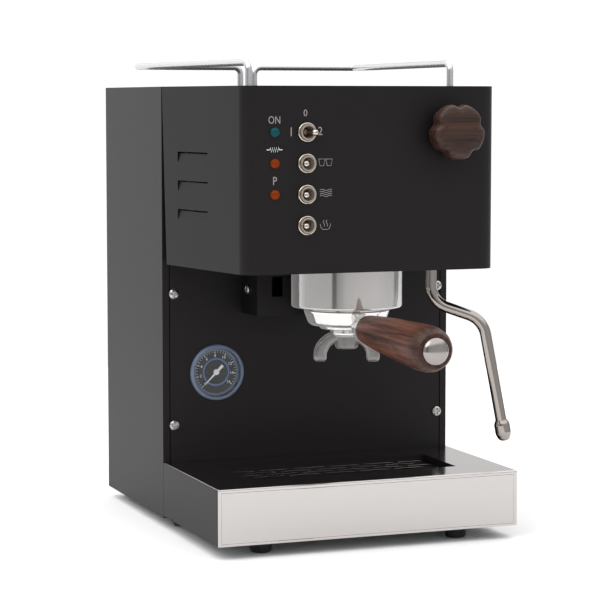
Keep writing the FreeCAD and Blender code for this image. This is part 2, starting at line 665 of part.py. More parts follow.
def make_bell():
    """The polished bell that covers the group."""
    tall = "(support_z - fit_gap - bell_foot)"
    lip = "(bell_radius - bell_edge - 1.2)"
    outline = [(lip, "0"), ("bell_radius", "0"), ("bell_radius", tall), ("neck_radius + 2", tall),
               ("neck_radius + 2", f"{tall} - bell_wall"),
               ("bell_radius - bell_wall", f"{tall} - bell_wall"),
               ("bell_radius - bell_wall", "bell_wall"), (lip, "bell_wall")]
    bell = revolved("bell_body", outline, "0", "group_y", "bell_foot")
    rounded(bell, "bell_edge_round", "bell_edge",
            lambda edge: edge.BoundBox.ZMax < 0.001 and edge.BoundBox.XMax > number("bell_radius") - 0.01)
    part("group_bell", bell)


def make_group_head():
    """The brass group head: bayonet flange, lug groove, gasket seat and the neck up to the boiler."""
    outer = "(bell_radius - bell_wall - 0.4)"
    clear = "(holder_radius + 0.6)"
    groove = "(holder_radius + lug_reach + 0.6)"
    seat = "(holder_radius + lug_reach + 1.4)"
    flange = "(groove_z - lock_z)"
    lug_top = "(seat_z - lock_z)"
    seat_top = "(seat_z - lock_z + gasket_height)"
    top = "(support_z - fit_gap - bell_wall - 0.2 - lock_z)"
    neck_top = "(support_z + bracket_wall - lock_z)"
    outline = [(clear, "0"), (outer, "0"), (outer, top), ("neck_radius", top),
               ("neck_radius", neck_top), ("0", neck_top), ("0", seat_top), (seat, seat_top),
               (seat, lug_top), (groove, lug_top), (groove, flange), (clear, flange)]
    head = revolved("group_casting", outline, "0", "group_y", "lock_z")
    gaps = []
    for index in range(2):
        gap = DOC.addObject("Part::Box", f"bayonet_gap_{index}")
        bind(gap, Length="lug_reach + 2", Width="lug_width + 4", Height="flange_height + 0.4")
        gap.Placement = Placement(Vector(), Rotation(Vector(0, 0, 1), 0))
        turn = math.radians(180 * index - number("lock_angle"))
        corner = Vector(number("holder_radius - 1"), -number("lug_width / 2 + 2"), 0)
        corner = Rotation(Vector(0, 0, 1), math.degrees(turn)).multVec(corner)
        base = Vector(0, number("group_y"), number("lock_z - 0.2"))
        gap.Placement = Placement(base + corner, Rotation(Vector(0, 0, 1), math.degrees(turn)))
        gaps.append(gap)
    part("group_head", cut("group_head_cut", head, *gaps))


def make_group_seal():
    """The rubber gasket, and the shower screen with its screw."""
    outer = "(holder_radius + lug_reach + 1.3)"
    inner = "(holder_radius + lug_reach + 1.3 - gasket_wall)"
    ring = revolved("gasket_ring", [(inner, "0"), (outer, "0"), (outer, "gasket_height - 0.1"),
                                    (inner, "gasket_height - 0.1")], "0", "group_y", "seat_z")
    part("group_gasket", ring)
    edge = "(holder_radius + lug_reach + 0.9 - gasket_wall)"
    screen = revolved("screen_cup", [("2.6", "0"), (edge, "0"), (edge, "gasket_height + screen_height"),
                                     (f"{edge} - 1", "gasket_height + screen_height"),
                                     (f"{edge} - 1", "1"), ("2.6", "1")],
                      "0", "group_y", "seat_z - screen_height")
    screw = revolved("screen_screw_turn", [("0", "-1.6"), ("4.5", "-1.6"), ("5", "-0.1"),
                                           ("2.5", "-0.1"), ("2.5", "gasket_height + screen_height - 0.1"),
                                           ("0", "gasket_height + screen_height - 0.1")],
                     "0", "group_y", "seat_z - screen_height")
    slot = box("screen_screw_slot", "12", "1.2", "0.9", "-6", "group_y - 0.6",
               "seat_z - screen_height - 1.8")
    part("shower_screen", screen, cut("screen_screw_cut", screw, slot))


# ---------------------------------------------------------------------------- filter holder

def handle_frame():
    """Where the handle starts, and the way it points."""
    tilt = math.radians(number("handle_tilt"))
    heading = Vector(0, -math.cos(tilt), -math.sin(tilt))
    start = point("0", "group_y - handle_start", "bell_foot - 15.6")
    return start, heading


def make_holder():
    """The chromed filter holder: cup, two lugs, boss and the neck that the handle screws onto."""
    tall = "(seat_z - fit_gap - rim_height - holder_foot)"
    inner = "(holder_radius - holder_wall)"
    cup = revolved("holder_cup", [("3.4", "0"), ("holder_radius - 9", "0"), ("holder_radius - 1.5", "7"),
                                  ("holder_radius", "11"), ("holder_radius", tall), (inner, tall),
                                  (inner, "11"), ("holder_radius - 9", "holder_floor"),
                                  ("3.4", "holder_floor")], "0", "group_y", "holder_foot")
    boss = revolved("holder_boss", [("3.4", "-boss_height"), ("boss_radius - 3", "-boss_height"),
                                    ("boss_radius", "2 - boss_height"), ("boss_radius", "1"),
                                    ("3.4", "1")], "0", "group_y", "holder_foot")
    lug_disc = revolved("lug_disc", [("holder_radius - 1", "0"), ("holder_radius + lug_reach", "0"),
                                     ("holder_radius + lug_reach", "lug_height"),
                                     ("holder_radius - 1", "lug_height")],
                        "0", "group_y", "groove_z + fit_gap")
    lug_bar = box("lug_bar", "2 * holder_radius + 20", "lug_width", "20", "-holder_radius - 10",
                  "group_y - lug_width / 2", "groove_z - 5")
    lugs = DOC.addObject("Part::Common", "holder_lugs")
    lugs.Base = lug_disc
    lugs.Tool = lug_bar
    start, heading = handle_frame()
    neck_length = number("handle_start - holder_radius") + 9
    neck_radius = number("handle_neck")
    neck = turned_piece([(0, 0), (neck_radius, 0), (neck_radius, 3), (5.5, 5.5),
                         (7.5, neck_length), (0, neck_length)], start, heading * -1)
    web = Part.Face(Part.makePolygon([
        point("0", "group_y - boss_radius + 1", "holder_foot - boss_height + 1"),
        point("0", "group_y - boss_radius + 1", "holder_foot + 8"),
        point("0", "group_y - handle_start + 0.5", "bell_foot - 15.6"),
        point("0", "group_y - handle_start + 0.5", "bell_foot - 15.6 - handle_neck + 1"),
        point("0", "group_y - boss_radius + 1", "holder_foot - boss_height + 1")]))
    web = web.extrude(Vector(2.4, 0, 0))
    web.translate(Vector(-1.2, 0, 0))
    hollow = turned_piece([(0, 0), (number("holder_radius - holder_wall"), 0),
                           (number("holder_radius - holder_wall"), 40), (0, 40)],
                          point("0", "group_y", "holder_foot + 11"), Vector(0, 0, 1))
    basin = turned_piece([(0, 0), (number("holder_radius - 9"), 0),
                          (number("holder_radius - holder_wall"), 11 - number("holder_floor")),
                          (0, 11 - number("holder_floor"))],
                         point("0", "group_y", "holder_foot + holder_floor"), Vector(0, 0, 1))
    arm = plain("holder_arm", neck.fuse(web).cut(hollow).cut(basin))
    drain = rod("holder_drain", "3.4", "30", "0", "group_y", "holder_foot - 20")
    part("portafilter_body", cut("holder_cut", joined("holder_joined", cup, boss, lugs, arm), drain))


def make_basket():
    """The two-cup filter basket that hangs by its rim in the holder."""
    rim = "(holder_radius - 0.4)"
    outer = "(holder_radius - holder_wall - 0.3)"
    inner = "(holder_radius - holder_wall - 0.3 - basket_wall)"
    step = "(basket_depth / 3)"
    basket = revolved("basket_turn", [
        ("0", "-basket_depth"), (f"{outer} - 8", "-basket_depth"), (outer, f"{step} - basket_depth"),
        (outer, "0"), (rim, "0"), (rim, "rim_height"), (inner, "rim_height"),
        (inner, f"{step} - basket_depth"), (f"{outer} - 8.4", "basket_wall - basket_depth"),
        ("0", "basket_wall - basket_depth")], "0", "group_y", "seat_z - fit_gap - rim_height")
    part("filter_basket", basket)


def make_spout():
    """The cast double spout: a hub with two arched channels."""
    leg = number("spout_leg")
    half = number("spout_width") / 2
    tall = number("spout_height")
    hub = number("hub_height")
    outer = Part.makeCylinder(half, number("spout_depth"), Vector(), Vector(0, 1, 0))
    arch = outer.cut(Part.makeCylinder(half - leg, 40, Vector(0, -10, 0), Vector(0, 1, 0)))
    arch = arch.common(Part.makeBox(2 * half, 40, half, Vector(-half, -10, 0)))
    legs = []
    for sign in (-1, 1):
        x = half - leg if sign > 0 else -half
        legs.append(Part.makeBox(leg, number("spout_depth"), 4.5, Vector(x, 0, -4.5)))
    squash = FreeCAD.Matrix()
    squash.A33 = (tall - 4.5) / half
    arch = arch.transformGeometry(squash)
    body = arch.fuse(legs)
    body.translate(Vector(0, -number("spout_depth") / 2, 4.5))
    core = Part.makeCylinder(number("hub_radius"), hub, Vector(0, 0, tall - hub))
    body = body.fuse(core).removeSplitter()
    for sign in (-1, 1):
        bore = Part.makeCylinder(2.6, 12, Vector(sign * (half - leg / 2), 0, -1))
        body = body.cut(bore)
    body.rotate(Vector(), Vector(0, 0, 1), number("spout_turn"))
    body.translate(point("0", "group_y", "spout_foot"))
    shaped("spout", body)


def make_handle():
    """The turned walnut handle and its domed steel cap."""
    start, heading = handle_frame()
    length = number("handle_length")
    thick = number("handle_radius")
    thin = number("handle_neck")
    share = [(0.0, thin - 0.6), (0.02, thin), (0.25, thin + 2.4), (0.5, thin + 5.0),
             (0.72, thick - 0.8), (0.86, thick), (0.95, thick - 1.4), (1.0, thick - 4.2)]
    curve = Part.BSplineCurve()
    curve.interpolate([Vector(radius, 0, along * length) for along, radius in share])
    gap = 0.2
    edges = [
        Part.LineSegment(Vector(0, 0, 0), Vector(thin - 0.6, 0, 0)).toShape(), curve.toShape(),
        Part.LineSegment(Vector(thick - 4.2, 0, length), Vector(0, 0, length)).toShape(),
        Part.LineSegment(Vector(0, 0, length), Vector(0, 0, 0)).toShape()]
    wood = Part.Face(Part.Wire(edges)).revolve(Vector(), Vector(0, 0, 1), 360)
    wood.Placement = Placement(start + heading * gap, Rotation(Vector(0, 0, 1), heading))
    shaped("portafilter_handle", wood)
    cap = number("cap_radius")
    rise = number("cap_rise") - 0.3
    arc = [(cap * math.cos(math.radians(a)), rise * math.sin(math.radians(a))) for a in range(0, 90, 10)]
    dome = turned_piece([(0, 0)] + arc + [(0, rise)], start + heading * (length + 0.25), heading)
    shaped("handle_cap", dome)


# ---------------------------------------------------------------------------- boiler and hydraulics

def make_boiler():
    """The boiler on the group's neck, its bolted cover, heating element and thermostat."""
    foot = "(support_z + bracket_wall)"
    tall = f"(flange_z - {foot})"
    inner = "(boiler_radius - boiler_wall)"
    shell = revolved("boiler_turn", [
        ("0", "0"), ("boiler_radius", "0"), ("boiler_radius", f"{tall} - 5"),
        ("boiler_flange", f"{tall} - 5"), ("boiler_flange", tall), (inner, tall),
        (inner, "boiler_wall"), ("0", "boiler_wall")], "0", "group_y", foot)
    holes = [rod(f"boiler_hole_{index}", "flange_bolt", "20", *spot, "flange_z - 15")
             for index, spot in enumerate(flange_bolts())]
    part("boiler", cut("boiler_cut", shell, *holes))
    cover = rod("cover_disc", "boiler_flange", "cover_height", "0", "group_y", "flange_z")
    holes = [rod(f"cover_hole_{index}", "flange_bolt", "20", *spot, "flange_z - 5")
             for index, spot in enumerate(flange_bolts())]
    for index, x in enumerate(("-9", "9")):
        holes.append(rod(f"element_hole_{index}", "element_radius", "20", x, "group_y", "flange_z - 5"))
    part("boiler_cover", cut("cover_cut", cover, *holes))
    bolts = []
    for x, y in flange_bolts():
        head = turned_piece([(0, -13), (2.45, -13), (2.45, 0), (4.2, 0), (4.2, 4), (0, 4)],
                            point(x, y, "cover_top"), Vector(0, 0, 1))
        bolts.append(head)
    shaped("boiler_bolts", *bolts)
    depth = f"(flange_z - {foot} - 22)"
    low = number(f"flange_z - {depth}")
    high = number("cover_top") + 9
    ends = [Vector(-9, number("group_y"), 0), Vector(9, number("group_y"), 0)]
    loop = [Vector(ends[0].x, ends[0].y, high), Vector(ends[0].x, ends[0].y, low),
            Vector(ends[1].x, ends[1].y, low), Vector(ends[1].x, ends[1].y, high)]
    shaped("heating_element", tube(loop, [8.5, 8.5], number("element_radius") - 0.05))
    disc = rod("thermostat_disc", "8", "6", "0", "group_y + 24", "cover_top")
    tabs = [box(f"thermostat_tab_{index}", "1", "5", "6", x, "group_y + 21.5", "cover_top + 5")
            for index, x in enumerate(("-4.5", "3.5"))]
    part("thermostat", joined("thermostat_joined", disc, *tabs))


def flange_bolts():
    """Six bolts round the boiler's flange."""
    spots = []
    for index in range(6):
        angle = 30 + 60 * index
        spots.append((f"(boiler_flange - 4.5) * cos({angle})",
                      f"group_y + (boiler_flange - 4.5) * sin({angle})"))
    return spots


def make_steam_side():
    """The steam valve behind its knob, its two pipes and the collar that the wand swivels in."""
    barrel = rod("valve_barrel", "valve_radius", "valve_length", "knob_x", "head_y + 4", "knob_z", "Y")
    nose = rod("valve_nose", "spindle_radius + 1.6", "5.9", "knob_x", "head_y - 0.9", "knob_z", "Y")
    bore = rod("valve_bore", "spindle_radius + swivel_gap", "22", "knob_x", "head_y - 2", "knob_z", "Y")
    part("steam_valve", cut("valve_cut", joined("valve_joined", barrel, nose), bore))
    out_y = number("wand_y")
    feed_top = number("knob_z - valve_radius")
    collar_foot = number("head_foot + wall")
    feed = tube([Vector(number("knob_x"), out_y, feed_top),
                 Vector(number("knob_x"), out_y, collar_foot + 20)], [], 4.0, 2.5)
    collar = revolved("collar_turn", [
        ("wand_radius + swivel_gap", "0"), ("9.5", "0"), ("9.5", "10"), ("7.5", "13"), ("7.5", "19.8"),
        ("wand_radius + swivel_gap", "19.8")], "knob_x", "wand_y", "head_foot + wall")
    part("wand_collar", collar)
    rear = number("head_y + 4 + valve_length")
    height = number("cover_top") + 12
    path = [point("30", "group_y + 14", "cover_top"),
            Vector(30, number("group_y") + 14, height),
            Vector(number("knob_x"), number("group_y") + 14, height),
            Vector(number("knob_x"), number("group_y") + 14, number("knob_z")),
            Vector(number("knob_x"), rear, number("knob_z"))]
    shaped("steam_pipes", tube(path, [5, 5, 5], number("pipe_radius"), 1.8), feed)


def make_wand():
    """The steam wand: straight down out of the head, out to the side and down to its tip."""
    heading = math.radians(number("wand_heading"))
    outward = Vector(math.sin(heading), -math.cos(heading), 0)
    axis = Vector(number("knob_x"), number("wand_y"), 0)
    lean = math.radians(number("wand_lean"))

    def spot(out, height):
        return axis + outward * out + Vector(0, 0, height)
    top = number("head_foot + wall") + 19.5
    knee = number("wand_knee")
    elbow = knee + number("wand_dip")
    reach = number("wand_reach")
    drop = number("wand_leg") * math.cos(lean)
    out = reach + number("wand_leg") * math.sin(lean)
    points = [spot(0, top), spot(0, elbow), spot(reach, knee), spot(out, knee - drop)]
    radius = number("wand_radius")
    shaped("steam_wand", tube(points, [17, 14], radius, number("wand_bore")))
    along = (points[-1] - points[-2]).normalize()
    tip = number("tip_radius")
    length = number("tip_length")
    outline = [(0, 0), (radius + 0.4, 0), (tip, 3.2), (tip, length - 5.5), (tip - 1.6, length - 1.8),
               (tip - 3.6, length), (0, length)]
    shaped("wand_tip", turned_piece(outline, points[-1], along))


def make_knob():
    """The six-lobed walnut knob and its spindle."""
    knob = DOC.addObject("PartDesign::Body", "knob_body")
    turn = knob.newObject("PartDesign::Revolution", "knob_turn")
    sketch = polygon(knob, "knob_outline", "XZ_Plane", [
        ("0", "0"), ("knob_radius - 4", "0"), ("knob_radius", "3"), ("knob_radius", "knob_depth - 6"),
        ("knob_radius - 2.5", "knob_depth - 1.8"), ("knob_radius - 7", "knob_depth"),
        ("0", "knob_depth")])
    turn.Profile = sketch
    turn.ReferenceAxis = (sketch, ["V_Axis"])
    turn.Angle = 360
    DOC.recompute()
    notch_sketch = knob.newObject("Sketcher::SketchObject", "knob_notch_outline")
    planes = [item for item in knob.Origin.OriginFeatures if item.Role == "XY_Plane"]
    notch_sketch.AttachmentSupport = (planes[0], [""])
    notch_sketch.MapMode = "FlatFace"
    across = number("knob_radius + 0.6 * knob_notch")
    notch_sketch.addGeometry(Part.Circle(Vector(0, across, 0), Vector(0, 0, 1), number("knob_notch")),
                             False)
    notch_sketch.addConstraint(Sketcher.Constraint("PointOnObject", 0, 3, -2))
    made = notch_sketch.addConstraint(Sketcher.Constraint("DistanceY", -1, 1, 0, 3, across))
    notch_sketch.renameConstraint(made, "across")
    notch_sketch.setExpression("Constraints.across", sized("knob_radius + 0.6 * knob_notch"))
    made = notch_sketch.addConstraint(Sketcher.Constraint("Radius", 0, number("knob_notch")))
    notch_sketch.renameConstraint(made, "notch")
    notch_sketch.setExpression("Constraints.notch", sized("knob_notch"))
    pocket = knob.newObject("PartDesign::Pocket", "knob_notch_cut")
    pocket.Profile = notch_sketch
    pocket.Type = 1
    pocket.Midplane = True
    knob.Tip = pocket
    DOC.recompute()
    pattern = knob.newObject("PartDesign::PolarPattern", "knob_lobes_round")
    pattern.Originals = [pocket]
    pattern.Axis = (sketch, ["V_Axis"])
    pattern.Angle = 360
    bind(pattern, Occurrences="knob_lobes")
    knob.Tip = pattern
    place(knob, "knob_x", "head_y - knob_gap", "knob_z", "-Y")
    bore = rod("knob_bore", "spindle_radius", "knob_depth - 6", "knob_x", "head_y - knob_gap + 1",
               "knob_z", "-Y")
    part("steam_knob", cut("knob_cut", knob, bore))
    spindle = rod("spindle_rod", "spindle_radius", "knob_depth - 7 + knob_gap + 16", "knob_x",
                  "head_y + 16", "knob_z", "-Y")
    part("steam_spindle", spindle)


def make_pump():
    """The vibration pump on its rubber mounts, and the three-way valve on the bracket."""
    left = "(pump_x - pump_length / 2)"
    tube_rod = rod("pump_tube", "pump_radius", "pump_length", left, "pump_y", "pump_z", "X")
    coil = box("pump_coil", "coil_size", "coil_size", "coil_size", "pump_x - coil_size / 2",
               "pump_y - coil_size / 2", "pump_z - coil_size / 2")
    part("vibration_pump", joined("pump_joined", tube_rod, coil))
    mounts = []
    for index, x in enumerate(("pump_x - coil_size / 2", "pump_x + coil_size / 2 - 12")):
        mounts.append(box(f"pump_mount_{index}", "12", "coil_size", "mount_height", x,
                          "pump_y - coil_size / 2", "base_top"))
    part("pump_mounts", *mounts)
    block = box("valve_cube", "valve_block", "valve_block", "valve_block", "-valve_block / 2 - 26",
                "panel_y - valve_block - 6", "support_z + bracket_wall")
    coil_rod = rod("valve_coil", "13", "32", "-26", "panel_y - valve_block / 2 - 6",
                   "support_z + bracket_wall + valve_block")
    part("three_way_valve", joined("three_way_joined", block, coil_rod))


def make_pipes():
    """Copper and silicone pipework."""
    radius = number("pipe_radius")
    bend = number("pipe_bend")
    side = number("pipe_x")
    pump_out = point("pump_x + pump_length / 2", "pump_y", "pump_z")
    contact = math.sqrt(number("boiler_radius") ** 2 - (14 - radius) ** 2) + 0.1
    high = number("flange_z") - 18
    boiler_y = number("group_y") + 14
    brew = [pump_out, Vector(side, pump_out.y, pump_out.z), Vector(side, pump_out.y, high),
            Vector(side, boiler_y, high), Vector(contact, boiler_y, high)]
    hose = number("hose_radius")
    seat = point("24 - tank_half", "pump_y", "shelf_height - 14")
    pump_in = point("pump_x - pump_length / 2", "pump_y", "pump_z")
    shaped("suction_hose", tube([seat, Vector(seat.x, seat.y, pump_in.z), pump_in], [24], hose, 2.6))
    gauge_back = point("gauge_x", "panel_y + gauge_depth", "gauge_height")
    left = number("gauge_x") - 21
    path = [gauge_back, gauge_back + Vector(0, 16, 0), Vector(left, gauge_back.y + 16, gauge_back.z),
            Vector(left, gauge_back.y + 16, high), Vector(left, boiler_y, high),
            Vector(-contact, boiler_y, high)]
    shaped("water_pipes", tube(brew, [bend, bend, bend], radius, 2.0),
           tube(path, [6, 6, bend, bend], 1.6, 0.8))


# ---------------------------------------------------------------------------- tank

def make_tank():
    """The water tank with its bottom spigot, the shelf, the rubber seat and the flush lid."""
    wide = "2 * tank_half"
    deep = "(tank_back - tank_y)"
    foot = "(shelf_height + base_wall + fit_gap)"
    tall = f"(case_top - 2 * wall - 3 - {foot})"
    outer = box("tank_outer", wide, deep, tall, "-tank_half", "tank_y", foot)
    inner = box("tank_inner", f"{wide} - 2 * tank_wall", f"{deep} - 2 * tank_wall", tall,
                "tank_wall - tank_half", "tank_y + tank_wall", f"{foot} + tank_wall")
    spigot = rod("tank_spigot", "spigot_radius - 0.3", "spigot_length", "24 - tank_half", "pump_y",
                 f"{foot} - spigot_length")
    bore = rod("tank_bore", "3", "30", "24 - tank_half", "pump_y", f"{foot} - 15")
    part("water_tank", cut("tank_cut", joined("tank_joined", cut("tank_shell", outer, inner), spigot),
                           bore))
    shelf = box("shelf_sheet", "2 * tank_half + 10", "body_depth - 2 * wall - 2 * fit_gap", "base_wall",
                "-tank_half - 5", "panel_y + wall + fit_gap", "shelf_height")
    lips = []
    for index, y in enumerate(("panel_y + wall + fit_gap", "back_y - wall - fit_gap - base_wall")):
        lips.append(box(f"shelf_lip_{index}", "2 * tank_half + 10", "base_wall", "12",
                        "-tank_half - 5", y, "shelf_height"))
    hole = rod("shelf_hole", "spigot_radius + seat_wall", "20", "24 - tank_half", "pump_y",
               "shelf_height - 10")
    part("tank_shelf", cut("shelf_cut", joined("shelf_joined", shelf, *lips), hole))
    seat = revolved("seat_turn", [
        ("2.6", "-9.5"), ("2.6", "-14"), ("hose_radius", "-14"), ("hose_radius", "-11"),
        ("spigot_radius + seat_wall + 1.5", "-11"),
        ("spigot_radius + seat_wall + 1.5", "-0.1"), ("spigot_radius + seat_wall - 0.1", "-0.1"),
        ("spigot_radius + seat_wall - 0.1", "base_wall"), ("spigot_radius", "base_wall"),
        ("spigot_radius", "-9.5")],
        "24 - tank_half", "pump_y", "shelf_height")
    part("tank_seat", seat)
    lid = box("lid_plate", "2 * lid_half", f"{deep} + 2 * tank_clear", "wall", "-lid_half",
              "tank_y - tank_clear", "case_top - wall")
    finger = rod("lid_finger_hole", "11", "10", "0", "tank_y + 10", "case_top - 5")
    part("tank_lid", cut("lid_cut", lid, finger))


# ---------------------------------------------------------------------------- gauge

def make_gauge():
    """The boiler pressure gauge: case, rim, dial, needle and lens."""
    face = "panel_y - gauge_rise"
    inner = "(gauge_radius - gauge_rim)"
    case = revolved("gauge_case_turn", [
        ("0", "gauge_depth"), (f"{inner} - 0.4", "gauge_depth"), (f"{inner} - 0.4", "1.6"),
        (f"{inner} - 1.4", "1.6"), (f"{inner} - 1.4", "gauge_depth - 1.2"),
        ("0", "gauge_depth - 1.2")], "gauge_x", "panel_y", "gauge_height", "Y")
    part("gauge_case", case)
    rim = revolved("gauge_rim_turn", [
        (f"{inner} - 1.3", "0"), ("gauge_radius - 1.2", "0"), ("gauge_radius", "1.2"),
        ("gauge_radius", "gauge_rise - 0.1"), (f"{inner} - 0.5", "gauge_rise - 0.1"),
        (f"{inner} - 0.5", "gauge_rise + 1.5"), (f"{inner} - 1.3", "gauge_rise + 1.5")],
        "gauge_x", face, "gauge_height", "Y")
    part("gauge_bezel", rim)
    dial = rod("dial_disc", f"{inner} - 1.5", "0.8", "gauge_x", "panel_y + 1.7", "gauge_height", "Y")
    stop = rod("dial_post", "4", "gauge_depth - 4.2", "gauge_x", "panel_y + 2.5", "gauge_height", "Y")
    post = rod("dial_post_bore", "0.8", "gauge_depth", "gauge_x", "panel_y", "gauge_height", "Y")
    part("gauge_dial", cut("dial_cut", joined("dial_joined", dial, stop), post))
    lens = rod("lens_disc", f"{inner} - 1.6", "1", "gauge_x", face + " + 0.8", "gauge_height", "Y")
    part("gauge_lens", lens)
    length = number("needle_length")
    hand = Part.Face(Part.makePolygon([
        Vector(-0.9, 0, -5), Vector(0.9, 0, -5), Vector(0.35, 0, length), Vector(-0.35, 0, length),
        Vector(-0.9, 0, -5)])).extrude(Vector(0, 0.5, 0))
    hub = Part.makeCylinder(2, 0.9, Vector(0, -0.2, 0), Vector(0, 1, 0))
    pin = Part.makeCylinder(0.75, 6, Vector(), Vector(0, 1, 0))
    needle = hand.fuse([hub, pin]).removeSplitter()
    needle.Placement = Placement(point("gauge_x", "panel_y + 0.6", "gauge_height"),
                                 Rotation(Vector(0, 1, 0), -131.5))
    shaped("gauge_needle", needle)


# ---------------------------------------------------------------------------- controls

def make_switches():
    """Four toggle switches: bodies with threaded bushes, ring nuts and ball-ended levers."""
    bodies = []
    nuts = []
    names = ("power_lever", "brew_lever", "hot_water_lever", "steam_lever")
    pivot = number("head_y + pivot_depth")
    bush = number("bush_radius")
    reach = number("bush_reach")
    depth = number("pivot_depth")
    for index, name in enumerate(names):
        centre = Vector(number("switch_x"), pivot, number(f"switch_z - {index} * switch_pitch"))
        case = Part.makeBox(14, 18, 15, Vector(-7, 2.6, -7.5))
        barrel = Part.makeCylinder(bush, depth + reach + 2.6, Vector(0, -depth - reach, 0),
                                   Vector(0, 1, 0))
        mouth = Part.makeCone(bush - 1.2, 2.6, depth + reach + 1.2, Vector(0, -depth - reach, 0),
                              Vector(0, 1, 0))
        ball_room = Part.makeSphere(3.2)
        switch = case.fuse(barrel).cut(mouth).cut(ball_room)
        switch.translate(centre)
        bodies.append(switch)
        nut = Part.makeCylinder(number("switch_nut"), 2.4, Vector(), Vector(0, -1, 0))
        nut = nut.cut(Part.makeCylinder(bush + 0.02, 5, Vector(0, 1, 0), Vector(0, -1, 0)))
        rim = [edge for edge in nut.Edges if edge.BoundBox.YMax < -2.3
               and edge.BoundBox.XLength > 2 * bush + 1]
        nut = nut.makeChamfer(0.6, rim)
        nut.translate(Vector(centre.x, number("head_y - 0.05"), centre.z))
        nuts.append(nut)
        ball = number("lever_ball")
        length = number("lever_length")
        outline = [(0, -2.6), (1.6, -2.4), (2.7, -1.0), (2.8, 0), (2.4, 1.4), (1.25, 2.6),
                   (1.35, 0.45 * length), (1.9, 0.78 * length), (ball, length - 1.0), (ball, length + 0.6),
                   (ball - 0.7, length + 1.9), (0, length + 2.4)]
        throw = number("lever_throw") * (1 if index == 0 else -1)
        angle = math.radians(throw)
        lever = turned_piece(outline, centre, Vector(math.sin(angle), -math.cos(angle), 0))
        shaped(name, lever)
    shaped("switch_bodies", *bodies)
    shaped("switch_nuts", *nuts)


def make_lamps():
    """Three indicator lamps: one green for power, two amber for heating and water."""
    radius = number("lamp_radius")
    rise = number("lamp_rise")
    arc = [(radius * math.cos(math.radians(a)), 0.8 + (rise - 0.8) * math.sin(math.radians(a)))
           for a in range(0, 90, 15)]
    outline = [(0, -16), (radius - 0.5, -16), (radius - 0.5, -1.2), (radius, -1.2)]
    outline += arc + [(0, rise)]
    lamps = []
    for index in range(3):
        start = point("lamp_x", "head_y", f"switch_z - {index} * switch_pitch")
        lamps.append(turned_piece(outline, start, Vector(0, -1, 0)))
    shaped("power_lamp", lamps[0])
    shaped("heating_lamps", *lamps[1:])


# ---------------------------------------------------------------------------- tray, rails and inlet

def make_tray():
    """The drip tray: polished cover with a recess, the basin under it and the slotted grate."""
    deep = "(tray_reach - 0.5)"
    tall = "(tray_top - tray_foot)"
    outer = box("tray_outer", "body_width", deep, tall, "-half_width", "tray_y", "tray_foot")
    inner = box("tray_inner", "body_width - 2 * wall", deep, tall, "wall - half_width",
                "tray_y + wall", "tray_foot - wall")
    wide = "(body_width - 2 * tray_margin)"
    run = "(tray_reach - tray_front_margin - tray_back_margin)"
    well = box("tray_well", f"{wide} + 2 * wall", f"{run} + 2 * wall", "recess_depth + grate_wall + 1.6",
               "tray_margin - half_width - wall", "tray_y + tray_front_margin - wall",
               "tray_top - recess_depth - grate_wall - 1.6")
    opening = box("tray_opening", wide, run, "20", "tray_margin - half_width",
                  "tray_y + tray_front_margin", "tray_top - recess_depth - grate_wall - fit_gap")
    drain = box("tray_drain", f"{wide} - 2 * ledge_width", f"{run} - 2 * ledge_width", "40",
                "tray_margin + ledge_width - half_width", "tray_y + tray_front_margin + ledge_width",
                "tray_top - 30")
    cover = cut("tray_cut", joined("tray_joined", cut("tray_shell", outer, inner), well), opening, drain)
    part("drip_tray_cover", cover)
    basin_foot = "(base_top + fit_gap)"
    basin_tall = f"(tray_top - wall - {basin_foot})"
    basin = box("basin_outer", "body_width - 2 * tray_margin + 20", "tray_reach - 30", basin_tall,
                "tray_margin - 10 - half_width", "tray_y + 10", basin_foot)
    basin_room = box("basin_room", "body_width - 2 * tray_margin + 17.6", "tray_reach - 32.4",
                     basin_tall, "tray_margin - 8.8 - half_width", "tray_y + 11.2",
                     f"{basin_foot} + wall")
    part("drip_basin", cut("basin_cut", basin, basin_room))
    plate = box("grate_plate", f"{wide} - 2 * fit_gap", f"{run} - 2 * fit_gap", "grate_wall",
                "tray_margin + fit_gap - half_width", "tray_y + tray_front_margin + fit_gap",
                "tray_top - recess_depth - grate_wall")
    part("drip_grate", cut("grate_cut", plate, grate_slots()))


def grate_slots():
    """Rows of long slots with rounded ends, each row stepped half a slot from the last."""
    length = number("slot_length")
    width = number("slot_width")
    pitch_x = length + number("slot_bridge")
    pitch_y = width + number("slot_bar")
    half = number("half_width - tray_margin") - 5
    front = number("tray_y + tray_front_margin") + 5
    back = number("panel_y - tray_back_margin") - 5
    rows = int((back - front + number("slot_bar")) / pitch_y)
    first = (front + back) / 2 - (rows - 1) * pitch_y / 2
    floor = number("tray_top - recess_depth - grate_wall") - 2
    shapes = []
    for row in range(rows):
        y = first + row * pitch_y
        step = pitch_x / 2 if row % 2 else 0
        x = -half - half % pitch_x + step
        while x < half:
            low = max(x, -half)
            high = min(x + length, half)
            x += pitch_x
            if high - low < 2 * width:
                continue
            slot = Part.makeBox(high - low - width, width, 6, Vector(low + width / 2, y - width / 2, floor))
            ends = [Part.makeCylinder(width / 2, 6, Vector(end, y, floor))
                    for end in (low + width / 2, high - width / 2)]
            shapes.append(slot.fuse(ends).removeSplitter())
    return plain("grate_slot_tools", Part.makeCompound(shapes))


